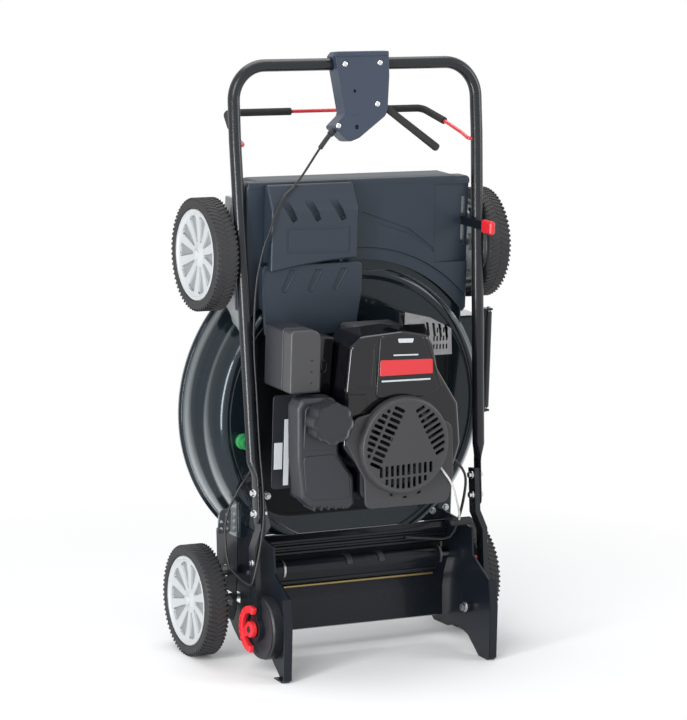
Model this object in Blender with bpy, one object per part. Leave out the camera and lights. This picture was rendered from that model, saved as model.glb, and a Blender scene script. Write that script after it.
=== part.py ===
"""Self-propelled lawn mower with front wheel drive, stood on end for storage.

Everything is modelled in the mowing position, in metres: +X is the mower's right,
+Y is forward and +Z is up, with the ground at Z = 0 and the rear axle at Y = 0.
The empty "stored" then stands the machine on its rear wheels and bracket feet,
deck on edge and engine to the front, as it is kept in a shed.
"""
import math

import bmesh
import bpy
from mathutils import Matrix, Vector

for old in list(bpy.data.objects):
    bpy.data.objects.remove(old, do_unlink=True)

# General fits
FIT = 0.0003            # gap between pieces that touch
RUNNING = 0.0006        # gap round a turning shaft
SHEET = 0.0025          # pressed steel thickness
MOULDING = 0.003        # plastic wall

# Wheels and axles
WHEEL_RADIUS = 0.1016
TYRE_WIDTH = 0.0450
RIM_RADIUS = WHEEL_RADIUS - 0.0196
RIM_WALL = 0.004
SPOKE_COUNT = 10
LUG_COUNT = 16
LUG_DEPTH = 0.003
WHEELBASE = 0.635
FRONT_HALF_TRACK = 0.298
REAR_HALF_TRACK = FRONT_HALF_TRACK + 0.004
AXLE_RADIUS = 0.00635
HUB_RADIUS = 0.016
SHAFT_RADIUS = 0.0055   # front drive shaft, which runs inside the front pivot studs
PINION_TEETH = 6
GEAR_TEETH = 28
PINION_RADIUS = 0.0128
TOOTH_DEPTH = 0.002
CRANK_ARM = 0.050       # from the height pivot to the wheel axis
GEAR_RADIUS = CRANK_ARM + PINION_RADIUS + 0.0008    # internal gear in each front rim
ARM_THICKNESS = 0.004
ARM_WIDTH = 0.030
ARM_INNER_X = REAR_HALF_TRACK - TYRE_WIDTH - 0.0195
FRONT_PIVOT_Y = WHEELBASE + CRANK_ARM
REAR_PIVOT_Y = CRANK_ARM
FRAME_HALF_WIDTH = ARM_INNER_X - 0.0135
FRONT_LEVER = 0.1516    # height lever, pivot to knob
FRONT_LEVER_X = FRAME_HALF_WIDTH - 0.009  # inner face of the lever, which rises through the cover
REAR_LEVER = 0.103
LEVER_HALF_WIDTH = 0.008
STUD_RADIUS = 0.010     # pivot studs of the front axle
LEVER_SWING_Y = (FRONT_PIVOT_Y - 0.045, FRONT_PIVOT_Y + 0.044)  # slot for the front lever's swing

# Deck
DECK_CENTRE_Y = WHEELBASE - 0.291
DECK_LIP_Z = 0.057
DECK_TOP_Z = 0.158
DECK_STEPS = 24
LIP_RADIUS = REAR_HALF_TRACK
WALL_RADIUS = LIP_RADIUS - 0.0065
DECK_FRONT_Y = WHEELBASE - 0.035    # the dome ends in a flat wall behind the front axle
TAIL_HALF_WIDTH = FRAME_HALF_WIDTH - 0.0025
TAIL_END_Y = 0.122
TAIL_TOP_Z = 0.150
CHUTE_REACH = LIP_RADIUS - 0.021
CHUTE_REAR_Y = DECK_CENTRE_Y - 0.006
CHUTE_FRONT_Y = DECK_CENTRE_Y + 0.158
CHUTE_TOP_Z = 0.138
HINGE_X = CHUTE_REACH + 0.008     # side deflector's hinge line
HINGE_Z = 0.1400
HINGE_ROD_RADIUS = 0.003
FRAME_FRONT_Y = FRONT_PIVOT_Y + 0.050
FRAME_TOP_Z = 0.1525
FRAME_LOW_Z = 0.070
AXLE_SLOT = 0.012       # half length of the slots that the front axle rises through

# Front covers
COVER_HALF_WIDTH = FRAME_HALF_WIDTH + 0.0035
COVER_FRONT_Y = FRONT_PIVOT_Y + 0.083
COVER_TOP_Z = 0.166
COVER_SKIRT_Z = 0.125
NOSE_HALF_WIDTH = FRAME_HALF_WIDTH - 0.019
NOSE_LOW_Z = 0.084
BELT_COVER_X = (0.032 - FRAME_HALF_WIDTH, -0.020)
BELT_SHOULDER_X = (0.021 - FRAME_HALF_WIDTH, -0.003)
BELT_COVER_TOP_Z = 0.2016
BELT_STEP_Z = 0.1905    # the lower level behind the step

# Engine
CRANK_Y = DECK_CENTRE_Y - 0.024
CRANK_RADIUS = 0.0125
ENGINE_SEAT_Z = 0.190
BLOCK_TOP_Z = 0.262
SHROUD_LOW_Z = 0.250
SHROUD_TOP_Z = 0.349
RECOIL_TOP_Z = 0.3716
INTAKE_RADIUS = 0.076
GRILLE_RADIUS = 0.088
SLOT_PITCH = 0.0115
SLOT_WIDTH = 0.0056
SLOT_REACH = 0.073
SLOT_LEAST = 0.006      # shorter slots are left out at the grille's edge
FLYWHEEL_RADIUS = 0.080
FILLER_X = 0.141        # oil filler
FILLER_Y = CRANK_Y + 0.010
PLUG_RADIUS = 0.0075
TANK_LOW_Z = 0.245
TANK_TOP_Z = 0.345
NECK_RADIUS = 0.028
FUEL_CAP_CENTRE = (-0.152, CRANK_Y + 0.0524)
FUEL_CAP_RADIUS = 0.0385
FUEL_CAP_TOP_Z = TANK_TOP_Z + 0.045
FILTER_TOP_Z = 0.330
GUARD_TOP_Z = 0.3016

# Blade and drive
BLADE_REACH = WALL_RADIUS - 0.0385
BLADE_WIDTH = 0.057
BLADE_Z = 0.072
BLADE_THICKNESS = 0.004
BELT_Z = 0.179
BELT_HEIGHT = 0.009
BELT_THICKNESS = 0.007
ENGINE_PULLEY_RADIUS = 0.030
DRIVE_PULLEY_RADIUS = 0.045
DRIVE_PULLEY_X = -0.105

# Rear brackets and handle
DRUM_RADIUS = 0.057
DRUM_OUTER_X = ARM_INNER_X - 0.0105
BRACKET_X = DRUM_OUTER_X - 0.027  # inner face of the bracket plate
BRACKET_PLATE = 0.004
FOOT_FLANGE = 0.016
PIVOT_Y = -0.0186       # handle fold axis
PIVOT_Z = 0.2616
PIVOT_BOLT_RADIUS = 0.006
LOCK_OUTER_X = ARM_INNER_X + 0.0112
LOCK_ARC = 0.036        # mean radius of the lever's C
LOCK_WIDTH = 0.013
BAR_THICKNESS = 0.010
BAR_WIDTH = 0.024
HANDLE_LENGTH = WHEELBASE + 0.365  # fold axis to crossbar, which clears the front cover
HANDLE_DROP = 0.12706   # how far the folded handle's crossbar lies below its fold axis
HANDLE_LEAN = math.asin(HANDLE_DROP / HANDLE_LENGTH)
HANDLE_TUBE_RADIUS = 0.0111
HANDLE_LOW_HALF_WIDTH = DRUM_OUTER_X + 0.002
HANDLE_TOP_HALF_WIDTH = HANDLE_LOW_HALF_WIDTH + 0.015
HANDLE_BEND = 0.062
TUBE_END = 0.262        # lower end of the round tube, from the fold axis
BAIL_PIVOT = HANDLE_LENGTH - 0.140
BAIL_REACH = 0.1395
BAIL_OPEN = math.radians(65)
BAIL_ROD_RADIUS = 0.004
GRIP_RADIUS = 0.0068
GRIP_START_X = 0.085
BAIL_POINTS = ((HANDLE_TOP_HALF_WIDTH - 0.0040, 0.0), (HANDLE_TOP_HALF_WIDTH - 0.0170, 0.0),
               (HANDLE_TOP_HALF_WIDTH - 0.0178, 0.20), (HANDLE_TOP_HALF_WIDTH - 0.0270, 0.58),
               (HANDLE_TOP_HALF_WIDTH - 0.0440, 1.0))     # x and share of the reach
LEVER_PIVOT = (0.043, HANDLE_LENGTH - 0.072)
LEVER_TIP = (0.182, HANDLE_LENGTH - 0.163)
LEVER_LOW = 0.003
LEVER_HIGH = 0.013
LEVER_PIN_RADIUS = 0.003

# Rear door
DOOR_HINGE_Y = 0.062
DOOR_HINGE_Z = 0.176
DOOR_HALF_WIDTH = BRACKET_X - 0.0085
DOOR_ROLL_RADIUS = 0.016
DOOR_END_Y = -0.052
DOOR_ROD_RADIUS = 0.004
SPRING_RADIUS = 0.0062
SPRING_WIRE = 0.0008
SPRING_TURNS = 4
SPRING_LOW_X = 0.0015 - BRACKET_X
SPRING_HIGH_X = 0.0155 - BRACKET_X

# Pieces on the engine's left keep inside the folded handle
TANK_OUTER_X = 0.016 - HANDLE_LOW_HALF_WIDTH
FILTER_OUTER_X = 0.017 - HANDLE_LOW_HALF_WIDTH
FILTER_INNER_X = FILTER_OUTER_X + 0.060

# Ropes and cables
ROPE_RADIUS = 0.0022
CABLE_RADIUS = 0.0026
GRIP_ROPE_X = BRACKET_X - 0.0266  # where the rope enters its grip

OVERALL_DEPTH = FUEL_CAP_TOP_Z
AXES = {"x": (1, 2, 0), "y": (0, 2, 1), "z": (0, 1, 2)}


# Modelling helpers

def to_object(bm):
    """Close a bmesh into a linked object with its faces pointing out."""
    bmesh.ops.recalc_face_normals(bm, faces=bm.faces)
    mesh = bpy.data.meshes.new("solid")
    bm.to_mesh(mesh)
    bm.free()
    solid = bpy.data.objects.new("solid", mesh)
    bpy.context.scene.collection.objects.link(solid)
    return solid


def point_on(axis, first, second, along):
    """A point from its two cross coordinates and its place along an axis."""
    point = [0.0, 0.0, 0.0]
    a, b, c = AXES[axis]
    point[a] = first
    point[b] = second
    point[c] = along
    return point


def prism(outline, axis, low, high):
    """Extrude a closed outline along an axis."""
    bm = bmesh.new()
    face = bm.faces.new([bm.verts.new(point_on(axis, a, b, low)) for a, b in outline])
    grown = bmesh.ops.extrude_face_region(bm, geom=[face])
    moved = [item for item in grown["geom"] if isinstance(item, bmesh.types.BMVert)]
    bmesh.ops.translate(bm, verts=moved, vec=point_on(axis, 0.0, 0.0, high - low))
    return to_object(bm)


def box(x, y, z, bevel=0.0, segments=2):
    """A block between two values on each axis, with rounded edges."""
    bm = bmesh.new()
    bmesh.ops.create_cube(bm, size=1.0)
    size = [x[1] - x[0], y[1] - y[0], z[1] - z[0]]
    centre = [(x[0] + x[1]) / 2, (y[0] + y[1]) / 2, (z[0] + z[1]) / 2]
    bmesh.ops.scale(bm, verts=bm.verts, vec=size)
    bmesh.ops.translate(bm, verts=bm.verts, vec=centre)
    if bevel:
        bmesh.ops.bevel(bm, geom=bm.edges[:], offset=bevel, segments=segments, profile=0.5,
                        affect="EDGES")
    return to_object(bm)


def lathe(profile, axis, centre, steps, ripple=None):
    """Turn a (radius, height) outline about an axis through a cross-plane centre."""
    bm = bmesh.new()
    rings = []
    for number, (radius, height) in enumerate(profile):
        if radius < 1e-9:
            rings.append([bm.verts.new(point_on(axis, centre[0], centre[1], height))])
            continue
        ring = []
        for step in range(steps):
            turn = 2 * math.pi * step / steps
            reach = radius - (ripple(number, step) if ripple else 0.0)
            ring.append(bm.verts.new(point_on(axis, centre[0] + reach * math.cos(turn),
                                              centre[1] + reach * math.sin(turn), height)))
        rings.append(ring)
    on_axis = profile[0][0] < 1e-9 and profile[-1][0] < 1e-9
    following = rings[1:] if on_axis else rings[1:] + rings[:1]
    for lower, upper in zip(rings, following):
        for step in range(steps):
            corners = [lower[step % len(lower)], lower[(step + 1) % len(lower)],
                       upper[(step + 1) % len(upper)], upper[step % len(upper)]]
            corners = list(dict.fromkeys(corners))
            if len(corners) > 2:
                bm.faces.new(corners)
    return to_object(bm)


def disc(axis, centre, radius, low, high, steps=24):
    """A plain round slug."""
    return lathe([(0, low), (radius, low), (radius, high), (0, high)], axis, centre, steps)


def ring(axis, centre, inner, outer, low, high, steps=24):
    """A plain round sleeve."""
    return lathe([(inner, low), (outer, low), (outer, high), (inner, high)], axis, centre, steps)


def rounded(outline, radius, steps=3):
    """Round the corners of an outline; a corner may carry its own radius."""
    result = []
    count = len(outline)
    for index, corner in enumerate(outline):
        here = Vector(corner[:2])
        before = Vector(outline[index - 1][:2]) - here
        after = Vector(outline[(index + 1) % count][:2]) - here
        reach = corner[2] if len(corner) > 2 else radius
        half = before.angle(after) / 2
        cut = min(reach / math.tan(half), 0.45 * before.length, 0.45 * after.length)
        start = here + before.normalized() * cut
        end = here + after.normalized() * cut
        for step in range(steps + 1):
            t = step / steps
            result.append(tuple(start * (1 - t) ** 2 + here * 2 * t * (1 - t) + end * t ** 2))
    return result


def bent(points, radius, steps=5):
    """Replace the corners of a 3D path by smooth bends."""
    path = [Vector(points[0])]
    for index in range(1, len(points) - 1):
        here = Vector(points[index])
        before = Vector(points[index - 1]) - here
        after = Vector(points[index + 1]) - here
        half = before.angle(after) / 2
        cut = min(radius / math.tan(half), 0.45 * before.length, 0.45 * after.length)
        start = here + before.normalized() * cut
        end = here + after.normalized() * cut
        for step in range(steps + 1):
            t = step / steps
            path.append(start * (1 - t) ** 2 + here * 2 * t * (1 - t) + end * t ** 2)
    path.append(Vector(points[-1]))
    return path


def flowing(points, count):
    """Even points along the smooth curve that passes through the given points."""
    knots = [Vector(point) for point in points]
    knots = [knots[0] * 2 - knots[1]] + knots + [knots[-1] * 2 - knots[-2]]
    fine = []
    for index in range(1, len(knots) - 2):
        p0, p1, p2, p3 = knots[index - 1:index + 3]
        for step in range(16):
            t = step / 16
            fine.append(0.5 * ((2 * p1) + (p2 - p0) * t + (2 * p0 - 5 * p1 + 4 * p2 - p3) * t ** 2
                               + (3 * p1 - p0 - 3 * p2 + p3) * t ** 3))
    fine.append(knots[-2])
    lengths = [0.0]
    for a, b in zip(fine, fine[1:]):
        lengths.append(lengths[-1] + (b - a).length)
    even = []
    index = 0
    for step in range(count):
        target = lengths[-1] * step / (count - 1)
        while index < len(fine) - 2 and lengths[index + 1] < target:
            index += 1
        span = lengths[index + 1] - lengths[index]
        t = min(1.0, (target - lengths[index]) / span)
        even.append(fine[index].lerp(fine[index + 1], t))
    return even


def rod(path, radius, resolution=2):
    """A round bar along a path, as a bevelled curve turned into a mesh."""
    curve = bpy.data.curves.new("rod", "CURVE")
    curve.dimensions = "3D"
    curve.bevel_depth = radius
    curve.bevel_resolution = resolution
    curve.use_fill_caps = True
    spline = curve.splines.new("POLY")
    spline.points.add(len(path) - 1)
    for target, point in zip(spline.points, path):
        target.co = (*point, 1.0)
    holder = bpy.data.objects.new("rod", curve)
    bpy.context.scene.collection.objects.link(holder)
    bpy.context.view_layer.update()
    graph = bpy.context.evaluated_depsgraph_get()
    mesh = bpy.data.meshes.new_from_object(holder.evaluated_get(graph))
    bpy.data.objects.remove(holder, do_unlink=True)
    bm = bmesh.new()
    bm.from_mesh(mesh)
    bmesh.ops.remove_doubles(bm, verts=bm.verts, dist=1e-6)
    return to_object(bm)


def joined(solids):
    """Several separate solids as one object, for use as a tool."""
    bm = bmesh.new()
    for solid in solids:
        bm.from_mesh(solid.data)
        bpy.data.objects.remove(solid, do_unlink=True)
    return to_object(bm)


def combine(target, tool, operation):
    """Apply one exact Boolean and drop its tool."""
    modifier = target.modifiers.new("combine", "BOOLEAN")
    modifier.operation = operation
    modifier.solver = "EXACT"
    modifier.object = tool
    bpy.context.view_layer.update()
    graph = bpy.context.evaluated_depsgraph_get()
    mesh = bpy.data.meshes.new_from_object(target.evaluated_get(graph))
    bm = bmesh.new()
    bm.from_mesh(mesh)
    bmesh.ops.triangulate(bm, faces=bm.faces)
    bmesh.ops.dissolve_degenerate(bm, edges=bm.edges, dist=1e-6)
    bm.to_mesh(mesh)
    bm.free()
    target.modifiers.clear()
    target.data = mesh
    bpy.data.objects.remove(tool, do_unlink=True)
    return target


def cut(target, *tools):
    """Take tools away from a solid."""
    for tool in tools:
        combine(target, tool, "DIFFERENCE")
    return target


def fuse(target, *tools):
    """Grow a solid by its overlapping neighbours."""
    for tool in tools:
        combine(target, tool, "UNION")
    return target


def moved(solid, matrix):
    """Move a solid's mesh."""
    solid.data.transform(matrix)
    return solid


def about_crank(outline):
    """A plan given from the crank axis, in the machine's place."""
    return [(x, CRANK_Y + y) for x, y in outline]


def ahead(outline):
    """A plan given from the front pivot line, in the machine's place."""
    return [(x, FRONT_PIVOT_Y + y) for x, y in outline]


def from_pivot(outline):
    """A side view given from the front pivot line, in the machine's place."""
    return [(FRONT_PIVOT_Y + y, z) for y, z in outline]


def below_bar(outline):
    """A plan given from the handle's crossbar, in the handle's frame."""
    return [(corner[0], HANDLE_LENGTH + corner[1], *corner[2:]) for corner in outline]


def between(start, end, share):
    """A value at a share of the way from one to another."""
    return start + (end - start) * share


# Finishes and placing

FINISHES = {
    "tyre": ((0.018, 0.018, 0.019), 0.75, 0.0),
    "rim": ((0.62, 0.63, 0.62), 0.38, 0.6),
    "steel": ((0.55, 0.56, 0.57), 0.35, 1.0),
    "chrome": ((0.72, 0.72, 0.72), 0.15, 1.0),
    "deck": ((0.035, 0.055, 0.068), 0.28, 0.35),
    "black_gloss": ((0.015, 0.017, 0.020), 0.22, 0.0),
    "black_matte": ((0.028, 0.029, 0.032), 0.55, 0.0),
    "grey_plastic": ((0.045, 0.046, 0.050), 0.50, 0.0),
    "casting": ((0.40, 0.40, 0.40), 0.55, 0.9),
    "red": ((0.62, 0.025, 0.030), 0.35, 0.0),
    "green": ((0.02, 0.27, 0.07), 0.40, 0.0),
    "rubber": ((0.020, 0.020, 0.021), 0.80, 0.0),
    "rope": ((0.75, 0.75, 0.72), 0.85, 0.0),
    "brass": ((0.60, 0.42, 0.16), 0.35, 1.0),
}


def empty(name, place, holder=None, turn=0.0):
    """An axis marker that pieces hang from; turned about X."""
    marker = bpy.data.objects.new(name, None)
    marker.empty_display_size = 0.05
    marker.location = place
    marker.rotation_euler = (turn, 0.0, 0.0)
    marker.parent = holder
    bpy.context.scene.collection.objects.link(marker)
    return marker


stored = empty("stored", (0.0, OVERALL_DEPTH / 2, WHEEL_RADIUS), turn=math.radians(90))
handle_fold = empty("handle_fold", (0.0, PIVOT_Y, PIVOT_Z), stored, turn=-HANDLE_LEAN)


def part(name, solid, finish, pivot=(0.0, 0.0, 0.0), holder=stored):
    """Name a finished solid, set its origin on its pivot, colour it and hang it up."""
    solid.name = name
    solid.data.name = name
    solid.data.transform(Matrix.Translation(-Vector(pivot)))
    solid.location = pivot
    solid.parent = holder
    colour, roughness, metallic = FINISHES[finish]
    material = bpy.data.materials.new(name + "_" + finish)
    material.use_nodes = True
    shader = material.node_tree.nodes["Principled BSDF"]
    shader.inputs["Base Color"].default_value = (*colour, 1.0)
    shader.inputs["Roughness"].default_value = roughness
    shader.inputs["Metallic"].default_value = metallic
    solid.data.materials.clear()
    solid.data.materials.append(material)
    solid.data.shade_smooth()
    solid.data.set_sharp_from_angle(angle=math.radians(32))
    return solid


# Wheels

def make_tyre(outer_x, side, centre_y):
    """A lugged tyre whose outer face stands at outer_x."""
    low = outer_x - TYRE_WIDTH
    seat = (RIM_RADIUS + FIT) / math.cos(math.pi / (2 * LUG_COUNT))
    profile = [(seat, low + 0.003), (WHEEL_RADIUS - 0.008, low), (WHEEL_RADIUS, low + 0.008),
               (WHEEL_RADIUS, outer_x - 0.008), (WHEEL_RADIUS - 0.008, outer_x), (seat, outer_x - 0.003)]

    def lugs(number, step):
        return LUG_DEPTH if number in (2, 3) and step % 2 else 0.0

    profile = [(radius, side * height) for radius, height in profile]
    return lathe(profile, "x", (centre_y, WHEEL_RADIUS), 2 * LUG_COUNT, lugs)


def make_rim(outer_x, side, centre_y, geared):
    """A dished wheel with sunk panels between its spokes; a driven one has an internal gear."""
    low = outer_x - TYRE_WIDTH
    web = outer_x - 0.013
    bore = AXLE_RADIUS + RUNNING
    barrel = RIM_RADIUS - RIM_WALL
    profile = [(bore, low + 0.004), (HUB_RADIUS, low + 0.004), (HUB_RADIUS, web),
               (barrel, web + 0.004), (barrel, low + 0.003), (RIM_RADIUS, low + 0.003),
               (RIM_RADIUS, outer_x - 0.003), (barrel, outer_x - 0.003),
               (barrel - 0.004, web + 0.009), (HUB_RADIUS + 0.006, web + 0.006),
               (HUB_RADIUS - 0.002, outer_x - 0.004), (bore, outer_x - 0.004)]
    profile = [(radius, side * height) for radius, height in profile]
    centre = (centre_y, WHEEL_RADIUS)
    rim = lathe(profile, "x", centre, 20)
    panels = []
    for number in range(SPOKE_COUNT):
        middle = 2 * math.pi * (number + 0.5) / SPOKE_COUNT
        corners = []
        near, far = HUB_RADIUS + 0.011, RIM_RADIUS - 0.011
        for radius, spread in ((near, 0.13), (far, 0.215), (far, -0.215), (near, -0.13)):
            turn = middle + spread
            corners.append((centre[0] + radius * math.cos(turn), centre[1] + radius * math.sin(turn)))
        ends = sorted((side * (web + 0.0048), side * (outer_x + 0.002)))
        panels.append(prism(corners, "x", *ends))
    cut(rim, joined(panels))
    if geared:
        gear = [(GEAR_RADIUS, side * (low + 0.0035)), (barrel + 0.001, side * (low + 0.0035)),
                (barrel + 0.001, side * (low + 0.0145)), (GEAR_RADIUS, side * (low + 0.0145))]

        def teeth(number, step):
            return -TOOTH_DEPTH if number in (0, 3) and step % 2 else 0.0

        fuse(rim, lathe(gear, "x", centre, 2 * GEAR_TEETH, teeth))
    return rim


def wheel_places():
    """Each wheel's name, side, outer face and axle line."""
    for end, track, axle_y in (("front", FRONT_HALF_TRACK, WHEELBASE), ("rear", REAR_HALF_TRACK, 0.0)):
        for side_name, side in (("left", -1), ("right", 1)):
            yield end + "_" + side_name, side, track, axle_y


for corner, side, track, axle_y in wheel_places():
    axis_point = (side * (track - TYRE_WIDTH / 2), axle_y, WHEEL_RADIUS)
    part("tyre_" + corner, make_tyre(track, side, axle_y), "tyre", axis_point)
    part("rim_" + corner, make_rim(track, side, axle_y, corner.startswith("front")), "rim", axis_point)


# Height-adjusting axles

def make_axle(half_track, wheel_y, pivot_y, lever, lever_x, hollow):
    """A dead axle on two crank arms, with pivot studs and the lever on the right arm."""
    reach = half_track - 0.003
    axle = disc("x", (wheel_y, WHEEL_RADIUS), AXLE_RADIUS, -reach, reach, 12)
    for side in (-1, 1):
        ends = sorted((side * ARM_INNER_X, side * (ARM_INNER_X + ARM_THICKNESS)))
        outline = []
        for number in range(10):
            turn = 2 * math.pi * (number + 0.5) / 10
            middle = max(wheel_y, pivot_y) if math.cos(turn) > 0 else min(wheel_y, pivot_y)
            outline.append((middle + ARM_WIDTH / 2 * math.cos(turn),
                            WHEEL_RADIUS + ARM_WIDTH / 2 * math.sin(turn)))
        fuse(axle, prism(outline, "x", *ends))
        stud = sorted((side * (BRACKET_X + BRACKET_PLATE + 0.004), side * (ARM_INNER_X + 0.002)))
        fuse(axle, disc("x", (pivot_y, WHEEL_RADIUS), STUD_RADIUS, *stud, 10))
    if hollow:
        cut(axle, disc("x", (pivot_y, WHEEL_RADIUS), SHAFT_RADIUS + RUNNING, -half_track, half_track, 16))
    else:
        fuse(axle, disc("x", (pivot_y, WHEEL_RADIUS), AXLE_RADIUS, -ARM_INNER_X - 0.001,
                        ARM_INNER_X + 0.001, 16))
    strip = box((lever_x + FIT, lever_x + ARM_THICKNESS - FIT),
                (pivot_y - LEVER_HALF_WIDTH, pivot_y + LEVER_HALF_WIDTH),
                (WHEEL_RADIUS + 0.009, WHEEL_RADIUS + lever + 0.006))
    return fuse(axle, strip)


def make_knob(pivot_y, lever, lever_x):
    """The soft tip pressed over the end of a height lever."""
    top = WHEEL_RADIUS + lever
    knob = box((lever_x - 0.0035, lever_x + 0.0080), (pivot_y - 0.012, pivot_y + 0.012),
               (top - 0.018, top + 0.018), 0.003, 1)
    slot = box((lever_x, lever_x + ARM_THICKNESS),
               (pivot_y - LEVER_HALF_WIDTH - FIT, pivot_y + LEVER_HALF_WIDTH + FIT),
               (top - 0.03, top + 0.006 + FIT))
    return cut(knob, slot)


for end, track, wheel_y, pivot_y, lever, lever_x, hollow in (
        ("front", FRONT_HALF_TRACK, WHEELBASE, FRONT_PIVOT_Y, FRONT_LEVER, FRONT_LEVER_X, True),
        ("rear", REAR_HALF_TRACK, 0.0, REAR_PIVOT_Y, REAR_LEVER, ARM_INNER_X, False)):
    pivot = (0.0, pivot_y, WHEEL_RADIUS)
    part(end + "_axle", make_axle(track, wheel_y, pivot_y, lever, lever_x, hollow), "steel",
         pivot)
    part(end + "_height_knob", make_knob(pivot_y, lever, lever_x), "red", pivot)


# Deck shell

def dome_profile(offset):
    """The stepped dome's outside, or its inside when offset is the sheet."""
    low = DECK_LIP_Z - (0.02 if offset > 0 else 0.03 if offset else 0.0)
    lip = [(WALL_RADIUS - offset, low)] if offset else [
        (LIP_RADIUS, low), (LIP_RADIUS, DECK_LIP_Z + 0.003), (WALL_RADIUS, DECK_LIP_Z + 0.005)]
    top = DECK_TOP_Z
    bead = [] if offset else [(LIP_RADIUS - 0.0475, top + 0.005), (LIP_RADIUS - 0.054, top + 0.005)]
    steps = [(LIP_RADIUS - 0.0095 - offset, top - 0.058), (LIP_RADIUS - 0.023 - offset, top - 0.046),
             (LIP_RADIUS - 0.025 - offset, top - 0.026), (LIP_RADIUS - 0.030 - offset, top - 0.012 - offset / 2),
             (LIP_RADIUS - 0.039 - offset, top - 0.002 - offset)]
    crown = [(LIP_RADIUS - 0.059, top - offset), (0.0, top - offset)]
    return [(0.0, low)] + lip + steps + bead + crown


def dome(offset=0.0):
    """The dome as a solid, squared off at the front."""
    shape = lathe(dome_profile(offset), "z", (0.0, DECK_CENTRE_Y), DECK_STEPS)
    return cut(shape, box((-LIP_RADIUS, LIP_RADIUS), (DECK_FRONT_Y - offset, COVER_FRONT_Y), (0.0, 0.3)))


def make_deck():
    """Dome, tail, side chute and front frame in one pressing."""
    deck = dome()
    tail = box((-TAIL_HALF_WIDTH, TAIL_HALF_WIDTH), (TAIL_END_Y, DECK_CENTRE_Y - 0.02),
               (DECK_LIP_Z + 0.001, TAIL_TOP_Z), 0.008, 1)
    chute = box((LIP_RADIUS - 0.102, CHUTE_REACH), (CHUTE_REAR_Y, CHUTE_FRONT_Y),
                (DECK_LIP_Z + 0.002, CHUTE_TOP_Z))
    frame = box((-FRAME_HALF_WIDTH, FRAME_HALF_WIDTH), (DECK_CENTRE_Y + 0.12, FRAME_FRONT_Y),
                (FRAME_LOW_Z, FRAME_TOP_Z))
    fuse(deck, tail, chute, frame)
    cut(deck, box((-LIP_RADIUS, LIP_RADIUS), (-WHEEL_RADIUS, TAIL_END_Y), (0.0, 0.3)))
    bay = box((-FRAME_HALF_WIDTH + SHEET, FRAME_HALF_WIDTH - SHEET),
              (DECK_CENTRE_Y + 0.13, FRAME_FRONT_Y - SHEET), (FRAME_LOW_Z - 0.004, FRAME_TOP_Z - SHEET))
    cut(bay, dome(-FIT))
    tail_room = box((-TAIL_HALF_WIDTH + SHEET, TAIL_HALF_WIDTH - SHEET),
                    (TAIL_END_Y - 0.03, DECK_CENTRE_Y - 0.02), (DECK_LIP_Z - 0.03, TAIL_TOP_Z - SHEET))
    chute_room = box((LIP_RADIUS - 0.112, LIP_RADIUS + 0.005), (CHUTE_REAR_Y + SHEET, CHUTE_FRONT_Y - SHEET),
                     (DECK_LIP_Z - 0.025, CHUTE_TOP_Z - SHEET))
    room = fuse(dome(SHEET), tail_room, chute_room)
    cut(deck, room, bay)
    ear = (HINGE_Z - 0.008, HINGE_Z + 0.008)
    fuse(deck, box((HINGE_X - 0.021, HINGE_X + 0.005), (CHUTE_REAR_Y - 0.0175, CHUTE_REAR_Y - 0.0135), ear),
         box((HINGE_X - 0.019, HINGE_X - 0.0085), (CHUTE_FRONT_Y - 0.0015, CHUTE_FRONT_Y + 0.0135), ear),
         box((HINGE_X - 0.010, HINGE_X + 0.005), (CHUTE_FRONT_Y + 0.0095, CHUTE_FRONT_Y + 0.0135), ear))
    cut(deck, disc("y", (HINGE_X, HINGE_Z), HINGE_ROD_RADIUS + FIT, CHUTE_REAR_Y - 0.08,
                   CHUTE_FRONT_Y + 0.09, 10))
    cut(deck, disc("z", (0.0, CRANK_Y), 0.040, DECK_TOP_Z - 0.02, DECK_TOP_Z + 0.02, 14))
    cut(deck, disc("z", (DRIVE_PULLEY_X, FRONT_PIVOT_Y), 0.014, FRAME_TOP_Z - 0.02, FRAME_TOP_Z + 0.02, 16))
    cut(deck, box((FRONT_LEVER_X - 0.002, FRONT_LEVER_X + 0.006), LEVER_SWING_Y,
                  (FRAME_TOP_Z - 0.01, FRAME_TOP_Z + 0.01)))
    for side in (-1, 1):
        wall = sorted((side * (FRAME_HALF_WIDTH - 0.01), side * (FRAME_HALF_WIDTH + 0.01)))
        cut(deck, disc("x", (FRONT_PIVOT_Y, WHEEL_RADIUS), STUD_RADIUS + RUNNING, *wall, 16),
            box(wall, (WHEELBASE - AXLE_SLOT, WHEELBASE + AXLE_SLOT),
                (FRAME_LOW_Z - 0.004, WHEEL_RADIUS + 0.032)))
        bracket_room = sorted((side * (BRACKET_X - 0.020), side * (BRACKET_X + 0.050)))
        cut(deck, box(bracket_room, (TAIL_END_Y - 0.02, TAIL_END_Y + 0.018), (TAIL_TOP_Z, DECK_TOP_Z + 0.02)))
    return deck


part("deck_shell", make_deck(), "deck")


# Front fairing and belt cover

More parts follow.
